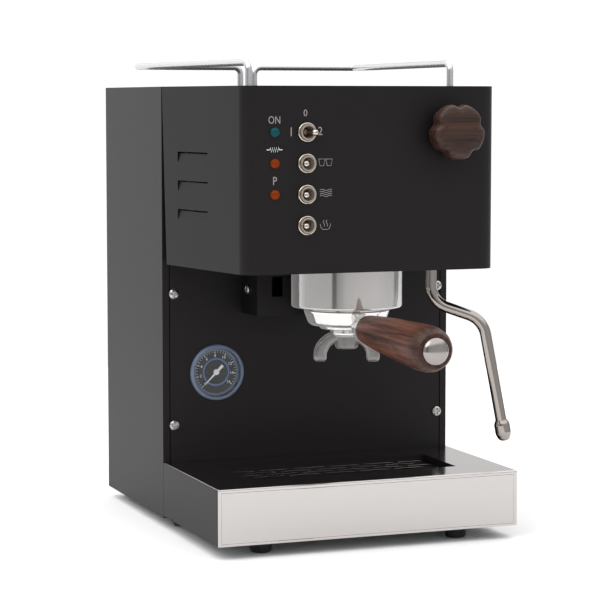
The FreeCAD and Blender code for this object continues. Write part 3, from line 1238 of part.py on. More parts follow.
def make_rails():
    """Two chromed rod rails round the cup-warming top, held by nuts under it."""
    bend = number("rail_bend")
    foot = "case_top - 8"
    for name, sign in (("cup_rail_left", -1), ("cup_rail_right", 1)):
        corners = [
            point(f"{sign} * rail_front_x", "rail_front_y", foot),
            point(f"{sign} * rail_front_x", "rail_front_y", "rail_z"),
            point(f"{sign} * rail_rear_x", "rail_back_y", "rail_z"),
            point(f"{sign} * rail_middle", "rail_back_y", "rail_z"),
            point(f"{sign} * rail_middle", "rail_back_y", foot),
        ]
        shaped(name, tube(corners, [bend, bend - 1, bend], number("rail_radius")))


def make_inlet():
    """The mains inlet in the back, with its three blades."""
    flange = box("inlet_flange", "inlet_width + 8", "inlet_rise", "inlet_height + 8",
                 "-60 - inlet_width / 2 - 4", "back_y + 0.05", "casing_foot + inlet_lift - 4")
    socket = box("inlet_socket", "inlet_width - 0.4", "inlet_depth", "inlet_height - 0.4",
                 "-60 - inlet_width / 2 + 0.2", "back_y + 0.1 - inlet_depth",
                 "casing_foot + inlet_lift + 0.2")
    room = box("inlet_room", "inlet_width - 4", "inlet_depth", "inlet_height - 4",
               "-60 - inlet_width / 2 + 2", "back_y + 2 + inlet_rise - inlet_depth + 1",
               "casing_foot + inlet_lift + 2")
    blades = []
    for index, (x, z) in enumerate((("-67", "inlet_lift + 8"), ("-53", "inlet_lift + 8"),
                                    ("-60", "inlet_lift + 13"))):
        blades.append(box(f"inlet_blade_{index}", "2", "15", "4", x + " - 1",
                          "back_y + 2 - inlet_depth", "casing_foot - 2 + " + z))
    hollowed = cut("inlet_cut", joined("inlet_joined", flange, socket), room)
    part("power_inlet", joined("inlet_all", hollowed, *blades))


# ---------------------------------------------------------------------------- build and write

def check_document():
    """Stop on any feature that failed, and on any finished piece that isn't sound."""
    for item in DOC.Objects:
        bad = [word for word in item.State if word in ("Invalid", "Error")]
        if bad:
            raise RuntimeError(f"{item.Label}: {item.State}")
    for item in NODES:
        if item.Shape.isNull() or not item.Shape.isValid() or not item.Shape.Solids:
            raise RuntimeError(f"{item.Label}: its shape isn't sound")


def main():
    for make in (make_base, make_feet, make_side_panels, make_back_panel, make_top_panel,
                 make_front_panel, make_head_cover, make_head_floor, make_casing_fasteners, make_bracket,
                 make_bell, make_group_head, make_group_seal, make_holder, make_basket, make_spout,
                 make_handle, make_boiler, make_steam_side, make_wand, make_knob, make_pump, make_pipes,
                 make_tank, make_gauge, make_switches, make_lamps, make_tray, make_rails, make_inlet):
        make()
    DOC.recompute()
    check_document()
    os.makedirs("parts", exist_ok=True)
    for item in NODES:
        item.Shape.exportStep(f"parts/{item.Label}.step")
        bounds = item.Shape.BoundBox
        print(f"{item.Label}: {len(item.Shape.Solids)} solid(s), {item.Shape.Volume / 1000:.2f} cm3, "
              f"{bounds.XLength:.1f} x {bounds.YLength:.1f} x {bounds.ZLength:.1f} mm")
    print(f"{len(NODES)} pieces")


main()
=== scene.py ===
# %% [markdown]
# A small espresso machine in black-coated steel, with a chromed group and walnut grips.
# The engineering model gives every part its place and its motion. This lesson keeps the parts
# whose shape is already right, gives them real finishes, and models again, by hand, the ones
# that the eye rests on: turned wood, chromed castings, bent tube, the gauge and the drip tray.

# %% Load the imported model
import bmesh
import bpy
import json
import math
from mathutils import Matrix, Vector


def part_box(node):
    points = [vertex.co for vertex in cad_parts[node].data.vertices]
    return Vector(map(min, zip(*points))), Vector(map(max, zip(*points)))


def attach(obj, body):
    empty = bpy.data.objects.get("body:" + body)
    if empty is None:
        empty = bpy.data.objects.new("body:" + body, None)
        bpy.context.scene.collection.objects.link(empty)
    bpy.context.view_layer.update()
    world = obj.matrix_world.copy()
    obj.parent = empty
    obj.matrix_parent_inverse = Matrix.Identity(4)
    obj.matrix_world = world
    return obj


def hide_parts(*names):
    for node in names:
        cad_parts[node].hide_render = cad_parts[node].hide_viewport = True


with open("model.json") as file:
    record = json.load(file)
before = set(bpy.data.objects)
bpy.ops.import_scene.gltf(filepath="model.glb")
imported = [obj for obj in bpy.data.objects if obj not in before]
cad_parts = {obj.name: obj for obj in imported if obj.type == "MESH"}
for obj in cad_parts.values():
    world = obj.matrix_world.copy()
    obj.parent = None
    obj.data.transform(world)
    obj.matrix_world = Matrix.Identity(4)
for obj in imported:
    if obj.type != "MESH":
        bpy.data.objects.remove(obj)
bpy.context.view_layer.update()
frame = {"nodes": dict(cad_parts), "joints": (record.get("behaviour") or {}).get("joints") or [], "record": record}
slot_of = {row["node"]: row["material_slot"] for row in frame["record"]["subparts"]}
joints = {row["name"]: row for row in frame["joints"]}
MM = 0.001
UP, FRONT = (0, 0, 1), (0, -1, 0)                  # the machine faces along -y

# %% [markdown]
# Most operators act on whatever is selected, so a few small helpers come first. One selects
# pieces, one opens a piece for editing with nothing picked, and one picks vertices, edges or
# faces by a rule about their place or direction, as a hand and an eye would do it. The others
# put a piece's place into its mesh, make a piece from copied data, and join several into one.

# %% Select and pick
def let_go():
    bpy.ops.object.select_all(action="DESELECT")


def choose(*pieces):
    let_go()
    for piece in pieces:
        piece.select_set(True)
    bpy.context.view_layer.objects.active = pieces[0]


def open_up(piece):
    choose(piece)
    bpy.ops.object.mode_set(mode="EDIT")
    bpy.ops.mesh.select_all(action="DESELECT")


def pick_all():
    bpy.ops.mesh.select_all(action="SELECT")


def close_up():
    bpy.ops.object.mode_set(mode="OBJECT")
    return bpy.context.object


def pick(kind, rule):
    bpy.ops.mesh.select_mode(type=kind)
    bpy.ops.mesh.select_all(action="DESELECT")
    shape = bmesh.from_edit_mesh(bpy.context.object.data)
    parts = {"VERT": shape.verts, "EDGE": shape.edges, "FACE": shape.faces}[kind]
    for part in [part for part in parts if rule(part)]:
        part.select_set(True)
    shape.select_flush_mode()
    bmesh.update_edit_mesh(bpy.context.object.data)


def middle(part):
    return sum((vertex.co for vertex in part.verts), Vector()) / len(part.verts)


def fix_place():
    bpy.ops.object.transform_apply(location=True, rotation=True, scale=True)


def placed(name, data):
    piece = bpy.data.objects.new(name, data)
    bpy.context.scene.collection.objects.link(piece)
    return piece


def joined(*pieces):
    choose(*pieces)
    bpy.ops.object.join()
    return pieces[0]


let_go()
print("selected pieces", len(bpy.context.selected_objects))

# %% [markdown]
# A finish on the real machine is a base colour plus the way its surface was made. Colours are
# written as sRGB hex, as a paint chart gives them, and turned to linear light here. One helper
# adds a shader node with its settings and links, and one sets plain values on the shader.

# %% Colour and node helpers
def linear(code):
    parts = [int(code[place:place + 2], 16) / 255 for place in (0, 2, 4)]
    return [part / 12.92 if part <= 0.04045 else ((part + 0.055) / 1.055) ** 2.4
            for part in parts] + [1.0]


def add(tree, kind, links=None, **settings):
    made = tree.nodes.new(kind)
    for name, value in settings.items():
        setattr(made, name, value)
    for socket, value in (links or {}).items():
        if isinstance(value, bpy.types.NodeSocket):
            tree.links.new(value, made.inputs[socket])
        else:
            made.inputs[socket].default_value = value
    return made


def finish_start(name):
    finish = bpy.data.materials.new(name)
    finish.use_nodes = True
    tree = finish.node_tree
    place = add(tree, "ShaderNodeTexCoord").outputs["Object"]
    return finish, tree, tree.nodes["Principled BSDF"], place


def tuned(finish, values):
    for socket, value in values.items():
        finish.node_tree.nodes["Principled BSDF"].inputs[socket].default_value = value
    return finish


print("mid grey in linear light", round(linear("808080")[0], 3))

# %% [markdown]
# Two recipes serve every finish. The first makes a noise whose grains have a real size, drawn
# out along one axis if asked. The second lets a pattern drive a surface as wear and grain do:
# its roughness, its relief, and its colour between two shades.

# %% Grit and its effect
def grit(tree, place, size, detail=3.0, stretch=(1, 1, 1)):
    turned = add(tree, "ShaderNodeMapping", {"Vector": place, "Scale": stretch})
    return add(tree, "ShaderNodeTexNoise", {
        "Vector": turned.outputs["Vector"], "Scale": 1 / size, "Detail": detail}).outputs["Fac"]


def drive(tree, shader, pattern, rough, depth=0.0, strength=0.3, shades=(), shade_by=None):
    span = add(tree, "ShaderNodeMapRange", {"Value": pattern, "To Min": rough[0],
                                            "To Max": rough[1]})
    tree.links.new(span.outputs["Result"], shader.inputs["Roughness"])
    if depth:
        bump = add(tree, "ShaderNodeBump", {"Height": pattern, "Distance": depth,
                                            "Strength": strength})
        tree.links.new(bump.outputs["Normal"], shader.inputs["Normal"])
    if shades:
        ramp = add(tree, "ShaderNodeValToRGB", {"Fac": shade_by or pattern})
        for stop, code in zip(ramp.color_ramp.elements, shades):
            stop.color = linear(code)
        tree.links.new(ramp.outputs["Color"], shader.inputs["Base Color"])
        return ramp


print("recipes ready")

# %% [markdown]
# The casing is folded mild steel with a fine-textured satin black powder coat. The powder melts
# into a skin with a faint orange peel, so it reflects softly: nearly black face on, and much
# paler where it is seen edge on. A low specular level and a middling roughness give that.

# %% Powder coat
finish, tree, shader, place = finish_start("powder_coat_black")
grain = grit(tree, place, 0.7 * MM)                # real grain is about 0.2 mm, drawn coarser
cloud = grit(tree, place, 40 * MM, 2.0)
drive(tree, shader, grain, (0.42, 0.54), 0.05 * MM, 0.35, ("100e0f", "141213"), cloud)
finishes = {"black_powder_coat": tuned(finish, {"Specular Tint": linear("fff9fa"),
                                                "Specular IOR Level": 0.21})}
print("made", finish.name)

# %% [markdown]
# Chrome plating on brass is the brightest metal here: a mirror with a slightly warm grey and
# hardly any texture. Hand-buffed plating also keeps a thin film of polish, which lights up
# where it is seen edge on, so the group's chrome gets a faint pale sheen. The stainless tray is
# polished too, but it keeps the mill's fine lines, so its roughness wavers along one direction.
# All of them keep the default index of refraction, as metals do.

# %% Bright metals
def bright_metal(name, base, rough, lines, wave=0.004 * MM, metallic=1.0, stretch=(1, 1, 1)):
    finish, tree, shader, place = finish_start(name)
    drive(tree, shader, grit(tree, place, lines, 4.0, stretch), rough, wave)
    return tuned(finish, {"Base Color": linear(base), "Metallic": metallic})


def hazed(finish, weight, tint="f4f2f0"):
    return tuned(finish, {"Sheen Weight": weight, "Sheen Roughness": 0.5,
                          "Sheen Tint": linear(tint)})


def buffed_chrome(name, base):
    return hazed(bright_metal(name, base, (0.04, 0.08), 8 * MM, metallic=0.84), 1.0, "ffffff")


finishes.update({
    "chromed_brass": bright_metal("chrome_plate", "cfccca", (0.03, 0.07), 8 * MM),
    # nickel is a little yellower than chrome, and satin where it was only tumbled
    "chrome_lever": bright_metal("nickel_plate", "c9bfb5", (0.08, 0.16), 4 * MM),
    "polished_stainless": bright_metal("stainless_polished", "bcb8b6", (0.10, 0.18), 0.6 * MM,
                                       stretch=(0.02, 1, 1)),
    # turned heads keep fine tool marks, so they look greyer than the polished sheet
    "stainless_fastener": bright_metal("stainless_fasteners", "b5b3b0", (0.22, 0.36), 0.5 * MM,
                                       0.02 * MM),
})
switch_nickel = bright_metal("nickel_satin", "a0968c", (0.35, 0.45), 1 * MM, 0.01 * MM, 0.7)
print("bright metals", len(finishes) - 1)

# %% [markdown]
# Oiled black walnut: fine dark pores and figure that run along the piece. The pattern is noise
# drawn out along the grain, a few millimetres wide and tens of millimetres long, with thin
# darker pore lines over it. Oil leaves the wood satin rather than glossy.

# %% Walnut
def walnut(name, along, light="6e4535", dark="38201a", end=None):
    finish, tree, shader, place = finish_start(name)
    stretch = tuple(0.018 if axis == along else 1.0 for axis in range(3))
    figure = grit(tree, place, 3.6 * MM, 5.0, stretch)
    pores = grit(tree, place, 0.9 * MM, 3.0, stretch)
    shade = drive(tree, shader, pores, (0.50, 0.34), 0.08 * MM, 0.4, (dark, light), figure)
    shade.color_ramp.elements[0].position = 0.34
    shade.color_ramp.elements[1].position = 0.66
    lines = add(tree, "ShaderNodeMapRange", {"Value": pores, "From Min": 0.36, "From Max": 0.50,
                                             "To Min": 0.55, "To Max": 1.0})
    amount = lines.outputs["Result"]
    if end:                                        # end grain drinks more oil and turns darker
        part = add(tree, "ShaderNodeSeparateXYZ", {"Vector": place}).outputs[along]
        fade = add(tree, "ShaderNodeMapRange", {"Value": part, "From Min": end[0],
                                                "From Max": end[1], "To Min": 1.0, "To Max": 0.5})
        amount = add(tree, "ShaderNodeMath", {0: amount, 1: fade.outputs["Result"]},
                     operation="MULTIPLY").outputs[0]
    dim = add(tree, "ShaderNodeVectorMath", {0: shade.outputs["Color"], "Scale": amount},
              operation="SCALE")
    tree.links.new(dim.outputs[0], shader.inputs["Base Color"])
    return tuned(finish, {"Specular IOR Level": 0.28})


finishes["walnut"] = walnut("walnut_oiled", 1)
print("made", finishes["walnut"].name)

# %% [markdown]
# The plainer finishes share one recipe: two close shades mixed by a soft noise, a roughness
# that wavers with the same noise, and a faint relief. Each keeps its own grain size. Moulded
# rubber and nylon are dull and drawn metals shine softly. Frosted plastic and glass let light
# through, so they keep one tint and only their roughness wavers. A lamp's lens is glossy and
# deeply coloured, and it glows a little so it doesn't look dead.

# %% Plain finishes
def plain_finish(name, first, second, rough, size, metallic=0.0):
    finish, tree, shader, place = finish_start(name)
    drive(tree, shader, grit(tree, place, size), rough, 0.02 * MM, shades=(first, second))
    return tuned(finish, {"Metallic": metallic})


def lens_finish(name, first, second, glow):
    return tuned(plain_finish(name, first, second, (0.08, 0.14), 2 * MM), {
        "Emission Color": linear(second), "Emission Strength": glow, "Specular IOR Level": 0.1})


def clear_finish(name, tint, rough, transmission, index=1.45):
    finish, tree, shader, place = finish_start(name)
    drive(tree, shader, grit(tree, place, 6 * MM), (rough, rough + 0.04), 0.004 * MM)
    return tuned(finish, {"Base Color": linear(tint), "Transmission Weight": transmission,
                          "IOR": index})


def spangled_zinc():
    """Hot-dip zinc freezes in flat crystals a few millimetres across, each its own grey."""
    finish, tree, shader, place = finish_start("zinc_spangle")
    cells = add(tree, "ShaderNodeTexVoronoi", {"Vector": place, "Scale": 1 / (6 * MM)})
    drive(tree, shader, cells.outputs["Color"], (0.32, 0.5), shades=("8f9293", "aeb1b2"))
    return tuned(finish, {"Metallic": 0.9})


print("plain recipes ready")

# %% [markdown]
# Each slot of the engineering model now gets its finish. The gauge's glass is bloomed against
# glare, so it bends and mirrors much less than window glass, and its index is set low.

# %% A finish for every slot
finishes.update({
    "galvanised_steel": spangled_zinc(),
    "foot_rubber": plain_finish("rubber_black", "161616", "1e1d1d", (0.7, 0.85), 1.2 * MM),
    "brass": plain_finish("brass_machined", "b08d4a", "c6a45c", (0.25, 0.4), 1.5 * MM, 1.0),
    "boiler_steel": plain_finish("steel_drawn", "9c9b99", "b0aeab", (0.28, 0.42), 2 * MM, 1.0),
    "copper_pipe": plain_finish("copper_drawn", "b3694c", "c78163", (0.2, 0.36), 3 * MM, 1.0),
    "silicone": clear_finish("silicone_hose", "e9e7e0", 0.35, 0.4),
    "pump_black": plain_finish("nylon_black", "1a1a1b", "232324", (0.4, 0.55), 0.8 * MM),
    "tank_plastic": clear_finish("polypropylene_frosted", "dfe6ea", 0.3, 0.6),
    "gauge_black": plain_finish("enamel_black", "0d0d0f", "121214", (0.25, 0.35), 1.5 * MM),
    "gauge_glass": clear_finish("glass_bloomed", "ffffff", 0.0, 1.0, 1.16),
    "needle_white": plain_finish("paint_white", "e6e8ea", "f2f3f4", (0.4, 0.5), 1 * MM),
    "green_lamp": lens_finish("acrylic_green", "0b3038", "13525c", 0.05),
    "amber_lamp": lens_finish("acrylic_amber", "561e00", "883400", 0.05),
})
for node, piece in frame["nodes"].items():
    piece.data.materials.clear()
    piece.data.materials.append(finishes[slot_of[node]])
frame["nodes"]["switch_bodies"].data.materials[0] = switch_nickel
print("finishes", len(finishes))

# %% [markdown]
# Every new piece ends in the same way: its place is put into its mesh, it is shaded smooth up
# to a crease angle, it gets its finish, the slot's own unless another is given, and it is set to
# move with its body. The parts of the engineering model that it stands for are hidden. Four
# smaller helpers extrude, apply a modifier, aim a piece along a direction, and weld its points.

# %% Settle a piece
def extrude(move):
    bpy.ops.mesh.extrude_region_move(TRANSFORM_OT_translate={"value": move})


def use(piece, kind, **settings):
    choose(piece)
    step = piece.modifiers.new(kind.lower(), kind)
    for name, value in settings.items():
        setattr(step, name, value)
    bpy.ops.object.modifier_apply(modifier=step.name)
    return piece


def settle(piece, name, body, slot, stands_for=(), crease=35, finish=None, soft=False):
    choose(piece)
    piece.name = name
    piece.data.name = name
    fix_place()
    bpy.ops.object.shade_smooth_by_angle(angle=math.radians(crease))
    if not soft:
        use(piece, "WEIGHTED_NORMAL", keep_sharp=True)
    piece.data.materials.clear()
    piece.data.materials.append(finish or finishes[slot])
    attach(piece, body)
    if stands_for:
        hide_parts(*stands_for)
    print(name, len(piece.data.polygons), "faces")
    return piece


def aim(piece, origin, direction):
    choose(piece)
    piece.rotation_mode = "QUATERNION"
    piece.rotation_quaternion = Vector(direction).to_track_quat("Z", "Y")
    piece.location = origin
    fix_place()
    return piece


def merge_doubles(piece, distance=0.002 * MM):
    open_up(piece)
    pick_all()
    bpy.ops.mesh.remove_doubles(threshold=distance)
    bpy.ops.mesh.normals_make_consistent(inside=False)
    return close_up()


print("ready to settle")

# %% [markdown]
# The wooden handle, the bell, the lamp lenses and the ring nuts are all round about an axis, as
# if turned on a lathe. The same is done here: a profile is drawn as a chain of points, its
# corners are rounded, and it is spun round the axis. Points are (radius, height) in
# millimetres, with a corner radius as a third number.

# %% The lathe
def lathe(outline, steps=96):
    let_go()
    bpy.ops.mesh.primitive_plane_add(size=MM)
    piece = bpy.context.object
    bpy.ops.object.mode_set(mode="EDIT")
    bpy.ops.mesh.select_mode(type="VERT")
    bpy.ops.mesh.merge(type="CENTER")
    bpy.ops.transform.translate(value=(outline[0][0] * MM, 0, outline[0][1] * MM))
    for before, after in zip(outline, outline[1:]):
        move = ((after[0] - before[0]) * MM, 0, (after[1] - before[1]) * MM)
        bpy.ops.mesh.extrude_vertices_move(TRANSFORM_OT_translate={"value": move})
    pick_all()
    bpy.ops.mesh.remove_doubles(threshold=0.001 * MM)
    for corner in outline:
        if len(corner) > 2:
            spot = Vector((corner[0] * MM, 0, corner[1] * MM))
            pick("VERT", lambda vertex: (vertex.co - spot).length < 0.003 * MM)
            bpy.ops.mesh.bevel(offset=corner[2] * MM, segments=5, affect="VERTICES")
    pick_all()
    bpy.ops.mesh.spin(steps=steps, angle=2 * math.pi, center=(0, 0, 0), axis=UP)
    pick_all()
    bpy.ops.mesh.remove_doubles(threshold=0.003 * MM)
    bpy.ops.mesh.normals_make_consistent(inside=False)
    return close_up()


print("lathe ready")

# %% [markdown]
# The bell is the polished skirt round the brewing group. It is spun from brass, rolled in at
# its foot, and chromed. The small radius at the foot catches one bright line all the way round.

# %% Group bell
low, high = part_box("group_bell")
group = Vector(((low.x + high.x) / 2, (low.y + high.y) / 2, 0))
bell_radius = (high.x - low.x) / 2 / MM
bell_tall = (high.z - low.z) / MM
wall, lip, crown = 1.8, -1.5, 29             # sheet, how far the foot dips, opening at the top
rolled = bell_radius - 6
bell = lathe([(rolled, lip), (bell_radius, lip, 1.5), (bell_radius, bell_tall, 0.6),
              (crown, bell_tall), (crown, bell_tall - wall),
              (bell_radius - wall, bell_tall - wall), (bell_radius - wall, lip + wall, 0.6),
              (rolled, lip + wall, 0.5), (rolled, lip, 0.5)], 128)
aim(bell, (group.x, group.y, low.z), UP)
settle(bell, "bell_skirt", "base", "chromed_brass", ["group_bell"], 50,
       buffed_chrome("chrome_on_brass", "cac7c5"))

# %% [markdown]
# Two more helpers: one adds a tool to a piece or cuts it away, and one makes a block between
# two corners, with its edges rounded if asked.

# %% Combine and block
def combined(piece, *tools, operation="UNION"):
    for tool in tools:
        use(piece, "BOOLEAN", object=tool, operation=operation, solver="EXACT")
        bpy.data.objects.remove(tool)
    return piece


def block(low, high, edge=0.0, segments=3):
    let_go()
    low, high = Vector(low), Vector(high)
    bpy.ops.mesh.primitive_cube_add(size=1, location=(low + high) / 2)
    piece = bpy.context.object
    piece.scale = high - low
    fix_place()
    if edge:
        open_up(piece)
        pick("EDGE", lambda part: True)
        bpy.ops.mesh.bevel(offset=edge, segments=segments, affect="EDGES")
        close_up()
    return piece


print("combine and block ready")

# %% [markdown]
# The filter holder is a chromed brass cup that flares over a smaller foot, with a boss under it
# for the spout and a waisted neck for the handle. It is made as turned shapes and a cast web,
# then joined into one solid with a boolean, as the foundry pours it in one piece. The neck dips
# a degree or two, and two lugs lock the holder into the group.

# %% Filter holder
low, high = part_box("portafilter_body")
rim, belly, bore = 31.7, 33.4, 3.4
holder_foot = 6.5
cup_tall = (high.z - low.z) / MM - holder_foot
cup = lathe([(bore, 0), (20.6, 0, 0.8), (21.6, 2.4, 0.5), (27.4, 2.9, 0.9), (30.0, 4.6, 1.2),
             (belly, 13.8, 0.6), (belly, 14.6, 0.3), (rim, 15.0, 0.2), (rim, cup_tall, 0.4),
             (29.5, cup_tall, 0.4), (29.5, 12.4), (25.6, 4.3), (bore, 4.3), (bore, 0)])
aim(cup, (group.x, group.y, low.z + holder_foot * MM), UP)
boss = lathe([(3.3, 0), (9.6, 0, 0.8), (12.5, 2.2, 1), (12.5, 7.4, 0.5), (3.3, 7.4), (3.3, 0)])
aim(boss, (group.x, group.y, low.z), UP)
neck_dip, neck_reach, neck_drop = math.radians(1.6), 43.5 * MM, 15.6 * MM
heading = Vector((0, -math.cos(neck_dip), -math.sin(neck_dip)))
neck_start = Vector((group.x, group.y - neck_reach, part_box("group_bell")[0].z - neck_drop))
neck = lathe([(0, 0), (10.2, 0, 0.6), (10.2, 2.6, 0.8), (6.6, 5.4, 2.5), (8.2, 13.6),
              (0, 13.6)], 64)
aim(neck, neck_start, -heading)
web_half, web_foot = 1.3 * MM, low.z + 3.0 * MM
web = block((-web_half, group.y - 42.5 * MM, web_foot),
            (web_half, group.y - 8 * MM, neck_start.z - 3 * MM), 0.5 * MM, 2)
open_up(web)
pick("VERT", lambda vertex: vertex.co.y < group.y - 30 * MM and vertex.co.z < low.z + 6 * MM)
bpy.ops.transform.translate(value=(0, 0, neck_start.z - 8.2 * MM - web_foot))
close_up()
holder = combined(cup, boss, neck, web)
for side in (-1, 1):
    lug_x = side * belly * MM
    lug = block((lug_x - 2.2 * MM, group.y - 8.5 * MM, high.z - 9.0 * MM),
                (lug_x + 0.8 * MM, group.y + 8.5 * MM, high.z - 5.2 * MM), 0.4 * MM, 2)
    combined(holder, lug)
settle(holder, "filter_holder", "portafilter", "chromed_brass", ["portafilter_body"], 40,
       buffed_chrome("chrome_on_cast_brass", "e8e6e4"))

# %% [markdown]
# The double spout is a chunky casting: two round-cornered channels that arch out of a hub and
# down to their mouths. One rectangle is spun half a turn to make the arch, which is then
# pressed flatter, its edges are rounded, and the mouths are sunk into its feet. It is screwed
# home a little past square, so the whole casting is turned at the end.

# %% Double spout
spout_low, spout_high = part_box("spout")
spout_half, spout_deep = 25.75 * MM, 13.0 * MM
spout_tall = spout_high.z - spout_low.z
spout_turn = math.radians(-21)
leg, foot_rise = 10.2 * MM, 4.5 * MM
arch_tall = spout_tall - foot_rise
let_go()
bpy.ops.mesh.primitive_plane_add(size=1)
spout = bpy.context.object
spout.scale = (leg, spout_deep, 1)
spout.location = (spout_half - leg / 2, 0, 0)
fix_place()
open_up(spout)
pick_all()
extrude((0, 0, foot_rise))
bpy.ops.mesh.spin(steps=40, angle=math.pi, center=(0, 0, foot_rise), axis=(0, 1, 0))
extrude((0, 0, -foot_rise))
pick("VERT", lambda vertex: vertex.co.z > foot_rise + 0.01 * MM)
bpy.ops.transform.resize(value=(1, 1, arch_tall / spout_half), center_override=(0, 0, foot_rise))
close_up()
merge_doubles(spout)
use(spout, "BEVEL", width=3.0 * MM, segments=5, limit_method="ANGLE",
    angle_limit=math.radians(60))
hub_radius, hub_tall = 9.2, 15
hub = lathe([(0, 0), (hub_radius, 0, 2.5), (hub_radius, hub_tall, 0.8), (0, hub_tall)], 64)
aim(hub, (0, 0, spout_tall - hub_tall * MM), UP)
combined(spout, hub)
for side in (-1, 1):
    mouth = lathe([(0, 0), (3.4, 0), (2.8, 9), (0, 9)], 32)
    aim(mouth, (side * (spout_half - leg / 2), 0, -0.5 * MM), UP)
    combined(spout, mouth, operation="DIFFERENCE")
choose(spout)
spout.rotation_euler = (0, 0, spout_turn)
fix_place()
aim(spout, (group.x, group.y, spout_low.z), UP)
# the plating keeps the casting's ripple, which blurs what it mirrors
cast_chrome = hazed(bright_metal("chrome_on_casting", "7b7978", (0.16, 0.30), 3 * MM, 0.03 * MM,
                                 metallic=0.75), 0.8)
settle(spout, "double_spout", "portafilter", "chromed_brass", ["spout"], 40, cast_chrome)

# %% [markdown]
# The handle is turned from walnut: slim at the neck, swelling to a full grip near the end, and
# closed by a domed cap, whose chrome is buffed dark and soft. The profile is given as shares
# of the length with a radius each, so that one number sets how long the handle is.

# %% Handle and cap
length = 124.0
shares = [(0, 10.2), (0.008, 10.9), (0.05, 11.5), (0.12, 12.3), (0.25, 13.5), (0.4, 14.6),
          (0.5, 15.2), (0.62, 15.8), (0.72, 16.4), (0.8, 16.8), (0.86, 17.0), (0.91, 16.8),
          (0.95, 16.0), (0.98, 14.6), (1.0, 12.8)]
grip = lathe([(0, 0)] + [(radius, share * length) for share, radius in shares] + [(0, length)])
aim(grip, neck_start + heading * 0.2 * MM, heading)
grip_end = (neck_start + heading * length * MM).y
walnut_handle = walnut("walnut_handle", 1, end=(grip_end + 20 * MM, grip_end + 4 * MM))
settle(grip, "walnut_handle", "portafilter", "walnut", ["portafilter_handle"], 40, walnut_handle,
       soft=True)
cap = lathe([(0, 0), (10.2, 0), (10.1, 0.9), (9.4, 2.3), (7.8, 3.6), (5.4, 4.6), (2.8, 5.1),
             (0, 5.2)], 64)
aim(cap, neck_start + heading * (length + 0.25) * MM, heading)
cap_chrome = bright_metal("chrome_buffed", "9a9592", (0.12, 0.2), 4 * MM, 0.01 * MM)
settle(cap, "handle_end_cap", "portafilter", "chromed_brass", ["handle_cap"], 60, cap_chrome, True)

# %% [markdown]
# The steam knob is a five-lobed walnut grip with a notch at its top. It starts as a ring of 30
# points. Every sixth one is pulled in to make a notch, the ring is raised in steps to a domed
# face, and a subdivision surface rounds the lobes as sandpaper would.

# %% Knob
low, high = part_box("steam_knob")
let_go()
ring_points, lobes, notch, foot_share = 30, 5, 0.81, 0.80
bpy.ops.mesh.primitive_circle_add(vertices=ring_points, radius=21 * MM, fill_type="NGON")
knob = bpy.context.object
open_up(knob)


def in_notch(vertex):
    from_top = math.degrees(math.atan2(vertex.co.y, vertex.co.x)) - 90
    return round(from_top * ring_points / 360) % (ring_points // lobes) == 0


pick("VERT", in_notch)
bpy.ops.transform.resize(value=(notch, notch, 1), center_override=(0, 0, 0))
pick_all()
bpy.ops.transform.resize(value=(foot_share, foot_share, 1), center_override=(0, 0, 0))
for rise, grow in ((0.6, 1.06), (4.0, 1.18), (8.5, 1.0), (4.2, 0.97), (2.0, 0.86), (0.8, 0.66)):
    extrude((0, 0, rise * MM))
    bpy.ops.transform.resize(value=(grow, grow, 1))
bpy.ops.mesh.inset(thickness=4 * MM)
bpy.ops.mesh.poke()
close_up()
merge_doubles(knob)
use(knob, "SUBSURF", levels=3, render_levels=3)
knob.dimensions = (high.x - low.x, high.z - low.z, high.y - low.y)
fix_place()
aim(knob, ((low.x + high.x) / 2, high.y, (low.z + high.z) / 2), FRONT)
walnut_knob = walnut("walnut_knob", 0, "442d24", "281813")
settle(knob, "walnut_knob", "steam_knob", "walnut", ["steam_knob"], 60, walnut_knob, soft=True)

# %% [markdown]
# Rails and the steam wand are drawn rod and tube, bent round formers. A ring of points is
# pushed along each straight run and spun round the former at each bend, so the bends are true
# arcs, as they are on the real tube.

# %% Bent tube
def bent_tube(corners, bends, radius, sides=28):
    corners = [Vector(corner) for corner in corners]
    first = (corners[1] - corners[0]).normalized()
    let_go()
    bpy.ops.mesh.primitive_circle_add(vertices=sides, radius=radius * MM, fill_type="NGON")
    piece = aim(bpy.context.object, corners[0], first)
    open_up(piece)
    pick_all()
    here, way = corners[0], first
    for index, bend in enumerate(list(bends) + [0]):
        corner = corners[index + 1]
        if index == len(bends):
            extrude(corner - here)
            break
        onward = (corners[index + 2] - corner).normalized()
        turn = way.angle(onward)
        start = corner - way * bend * MM * math.tan(turn / 2)
        extrude(start - here)
        axis = way.cross(onward).normalized()
        centre = start + axis.cross(way) * bend * MM
        bpy.ops.mesh.spin(steps=max(6, int(math.degrees(turn) / 7)), angle=-turn, center=centre,
                          axis=axis)
        here = corner + onward * bend * MM * math.tan(turn / 2)
        way = onward
    close_up()
    return merge_doubles(piece)


print("tube bender ready")

# %% [markdown]
# Two chromed rod rails fence the warm top where cups stand. Each rises from a foot at the
# front, runs back and out along the side, turns across the back and comes down near the middle.
# Rod is plated as it is drawn, not buffed, so its chrome is softer than the bell's.

